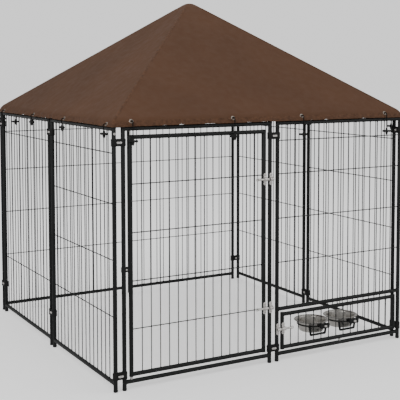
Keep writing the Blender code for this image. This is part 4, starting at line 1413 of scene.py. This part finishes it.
class CRATE_OT_roof_frame(bpy.types.Operator):
    """Hub, four bent spars and the screws that hold them."""

    bl_idname = "crate.roof_frame"
    bl_label = "Roof frame"

    def execute(self, context):
        radius = context.scene.crate_sizes.spar_radius

        def on_axis(r):
            return Vector((r, 0.0, SPAR_PEAK_Z - HIP_SLOPE * r))

        drop = SPAR_BEND * math.tan(EAVE_TURN / 2)
        centre = Vector((CORNER_R - SPAR_BEND, 0.0, on_axis(CORNER_R).z - drop))
        route = [on_axis(0.0205)]
        for k in range(13):
            angle = EAVE_TURN * (1 - k / 12)
            route.append(centre + SPAR_BEND * Vector((math.cos(angle), 0.0, math.sin(angle))))
        route.append(Vector((CORNER_R, 0.0, SPAR_FOOT_Z)))
        spar = swept("spar", route, radius, 6)
        for side, corner in enumerate(CORNERS):
            node = "roof_spar_" + corner
            piece = twin(spar, node + "_tube", turn(90 * side - 45))
            file_piece(piece, "fence", "black_coat", [node])
        scrap(spar)

        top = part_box("roof_hub")[1].z
        hub = turned(
            "hub",
            [
                (0.0, -0.0250), (0.0120, -0.0250), (0.0158, -0.0235), (0.0168, -0.0205),
                (0.0168, -0.0040), (0.0150, -0.0012), (0.0110, 0.0), (0.0, 0.0),
            ],
            36, shift(z=top),
        )
        stubs = [hub]
        for side in range(4):
            stub = rod("stub", on_axis(0.012), on_axis(0.0590), 0.0039, 20)
            stub.data.transform(turn(90 * side - 45))
            stubs.append(stub)
        hub = joined("roof_hub_moulded", stubs)
        file_piece(hub, "fence", "black_coat", ["roof_hub"])

        screw = pan_head(0.0050, 0.0027)
        for side, corner in enumerate(CORNERS):
            node = "roof_screw_" + corner
            seat = shift(PANEL_WIDTH / 2 + SOLID_TUBE_R, 0, middle(node)[2])
            seat = seat @ turn(90, "Y") @ turn(33)
            piece = twin(screw, node + "_head", panel_place(side, 1) @ seat)
            file_piece(piece, "fence", "zinc", [node])
        scrap(screw)
        return {"FINISHED"}


# ---------------------------------------------------------------- bowls


def wall_radius(z):
    """Outer radius of a bowl's tapered wall at a height."""
    return BOWL_BASE_R + (z - BOWL_BASE_Z) / BOWL_WALL_TALL * BOWL_WALL_FLARE


class CRATE_OT_bowls(bpy.types.Operator):
    """Two spun bowls with a broad rim."""

    bl_idname = "crate.bowls"
    bl_label = "Bowls"

    def profile(self, wall):
        """Closed section of the sheet, from the lip over the inside and back."""
        rim = BOWL_RIM_Z
        base = BOWL_BASE_Z
        inner = [
            (0.0766, rim - 0.0007), (0.0740, rim), (0.0690, rim - 0.0002), (0.0655, rim - 0.0012),
            (0.0632, rim - 0.0036), (0.0621, rim - 0.0070),
        ]
        inner += [(wall_radius(z) - wall, z) for z in (0.108, 0.098, 0.088, 0.0800)]
        foot = [(0.0525, 0.0778), (0.0513, 0.0763), (0.0490, 0.0752)]
        inner += foot + [(0.0380, 0.0750), (0.0200, 0.0757), (0.0, 0.0760)]
        outer = [(0.0, base + 0.0010), (0.0200, base + 0.0007), (0.0380, base), (0.0495, base)]
        outer += [(0.0522, base + 0.0010), (0.0537, base + 0.0035)]
        outer += [(wall_radius(z), z) for z in (0.0800, 0.088, 0.098, 0.108)]
        outer += [
            (0.0631, rim - 0.0070), (0.0642, rim - 0.0042), (0.0660, rim - 0.0022),
            (0.0692, rim - 0.0012), (0.0740, rim - 0.0010), (0.0764, rim - 0.0026),
            (0.0774, rim - 0.0022),
        ]
        return inner + outer

    def lay_rings(self, obj):
        """UV map that runs down the wall, for the lathe's rings."""
        layer = obj.data.uv_layers.active or obj.data.uv_layers.new(name="rings")
        for loop in obj.data.loops:
            co = obj.data.vertices[loop.vertex_index].co
            layer.data[loop.index].uv = (0.0, math.hypot(co.x, co.y) * 0.8 + co.z)

    def execute(self, context):
        bowl = turned("bowl", self.profile(context.scene.crate_sizes.bowl_wall), 72)
        self.lay_rings(bowl)
        for key in ("left", "right"):
            piece = twin(bowl, f"bowl_{key}_spun", shift(middle("bowl_" + key)[0], BOWL_Y))
            file_piece(piece, "bowl_" + key, "stainless", ["bowl_" + key], angle=50)
        scrap(bowl)
        return {"FINISHED"}


class CRATE_OT_holders(bpy.types.Operator):
    """Hoop, strap and clamp that carry each bowl on the gate."""

    bl_idname = "crate.holders"
    bl_label = "Bowl holders"

    def pad(self, name, low, high):
        """Oblong plate of the clamp, from y = low to high."""
        return plate(name, rounded_box(0.046, 0.020, 0.0035, 4, 0, BOWL_CLAMP_Z), low, high, 0.0005)

    def holder(self):
        """Hoop, strap, arm and inner plate about the bowl's axis."""
        wire_r = 0.002
        hoop_r = wall_radius(HOOP_Z + wire_r) + 0.0003 + wire_r
        hoop = turned(
            "hoop", [(hoop_r + x, HOOP_Z + z) for x, z in arc(0, 0, wire_r, 0, 330, 11)], 64,
            closed=True,
        )
        reach, foot, top, bottom, thick = 0.0495, 0.0420, 0.1060, 0.0625, 0.0085
        outer = [(reach, top), (foot + 0.0008, bottom + 0.0050)]
        outer += [(foot - 0.0009, bottom + 0.0016), (foot - 0.0042, bottom)]
        inner = [(foot - 0.0096, bottom + thick), (foot - 0.0076, bottom + thick + 0.0009)]
        inner += [(foot - 0.0064, bottom + thick + 0.0036), (reach - thick, top)]
        outline = outer + [(-x, z) for x, z in reversed(outer)]
        outline += [(-x, z) for x, z in reversed(inner)] + inner
        strap = plate("strap", outline, -0.0518, -0.0462, 0.0008)
        inner_plate = self.pad("inner_plate", -0.0970, -0.0940)
        arm = plate(
            "arm", [(-0.010, 0.1047), (-0.010, 0.1073), (0.010, 0.1073), (0.010, 0.1047)], -0.0955,
            -hoop_r, 0.0004,
        )
        # Tongue of the arm that wraps under the hoop.
        half = 0.0085
        tongue = rod(
            "tongue", (-half, -hoop_r, HOOP_Z), (half, -hoop_r, HOOP_Z), 0.0030, 16, 0.0006
        )
        return joined("holder", [hoop, strap, inner_plate, arm, tongue])

    def execute(self, context):
        holder = self.holder()
        bar = self.pad("bar", -0.1045, -0.1020)
        head = oblong_head(0.0140, 0.0080, 0.0040)
        head.data.transform(shift(0, -0.1047, BOWL_CLAMP_Z))
        shank = rod("shank", (0, -0.1050, BOWL_CLAMP_Z), (0, -0.0915, BOWL_CLAMP_Z), 0.0028, 16)
        nut = turned(
            "nut", [(0.0, 0.0), (0.0050, 0.0), (0.0054, 0.0007), (0.0054, 0.0022), (0.0, 0.0028)],
            6, shift(0, -0.0940, BOWL_CLAMP_Z) @ turn(-90, "X"),
        )
        screw = joined("screw", [head, shank, nut])
        for key in ("left", "right"):
            place = shift(middle("bowl_" + key)[0], BOWL_Y)
            for master, node, finish in (
                (holder, "bowl_holder_" + key, "black_coat"),
                (bar, "bowl_clamp_bar_" + key, "black_coat"), (screw, "bowl_screw_" + key, "zinc"),
            ):
                piece = twin(master, node + "_made", place)
                file_piece(piece, "gate", finish, [node])
        scrap(holder, bar, screw)
        return {"FINISHED"}


# ---------------------------------------------------------------- add-on


STEPS = (
    CRATE_OT_stage, CRATE_OT_finishes, CRATE_OT_canopy, CRATE_OT_ties, CRATE_OT_fence,
    CRATE_OT_plugs, CRATE_OT_door, CRATE_OT_gate, CRATE_OT_pins, CRATE_OT_clamps, CRATE_OT_latches,
    CRATE_OT_roof_frame, CRATE_OT_bowls, CRATE_OT_holders,
)


class CRATE_PT_panel(bpy.types.Panel):
    """Sidebar panel that lists the crate's pieces."""

    bl_label = "Dog crate"
    bl_space_type = "VIEW_3D"
    bl_region_type = "UI"
    bl_category = "Crate"

    def draw(self, context):
        for group in (context.scene.crate_sizes, context.scene.crate_colours):
            for key in group.__annotations__:
                self.layout.prop(group, key)
        for step in STEPS:
            self.layout.operator(step.bl_idname)


CLASSES = (CrateSizes, CrateColours, *STEPS, CRATE_PT_panel)


def register():
    """Register the classes and hang the settings on the scene."""
    for item in CLASSES:
        bpy.utils.register_class(item)
    bpy.types.Scene.crate_sizes = PointerProperty(type=CrateSizes)
    bpy.types.Scene.crate_colours = PointerProperty(type=CrateColours)


def unregister():
    """Undo register."""
    del bpy.types.Scene.crate_sizes
    del bpy.types.Scene.crate_colours
    for item in reversed(CLASSES):
        bpy.utils.unregister_class(item)


def main():
    """Build the crate piece by piece."""
    register()
    for step in STEPS:
        group, name = step.bl_idname.split(".")
        getattr(getattr(bpy.ops, group), name)()


if __name__ == "__main__":
    main()
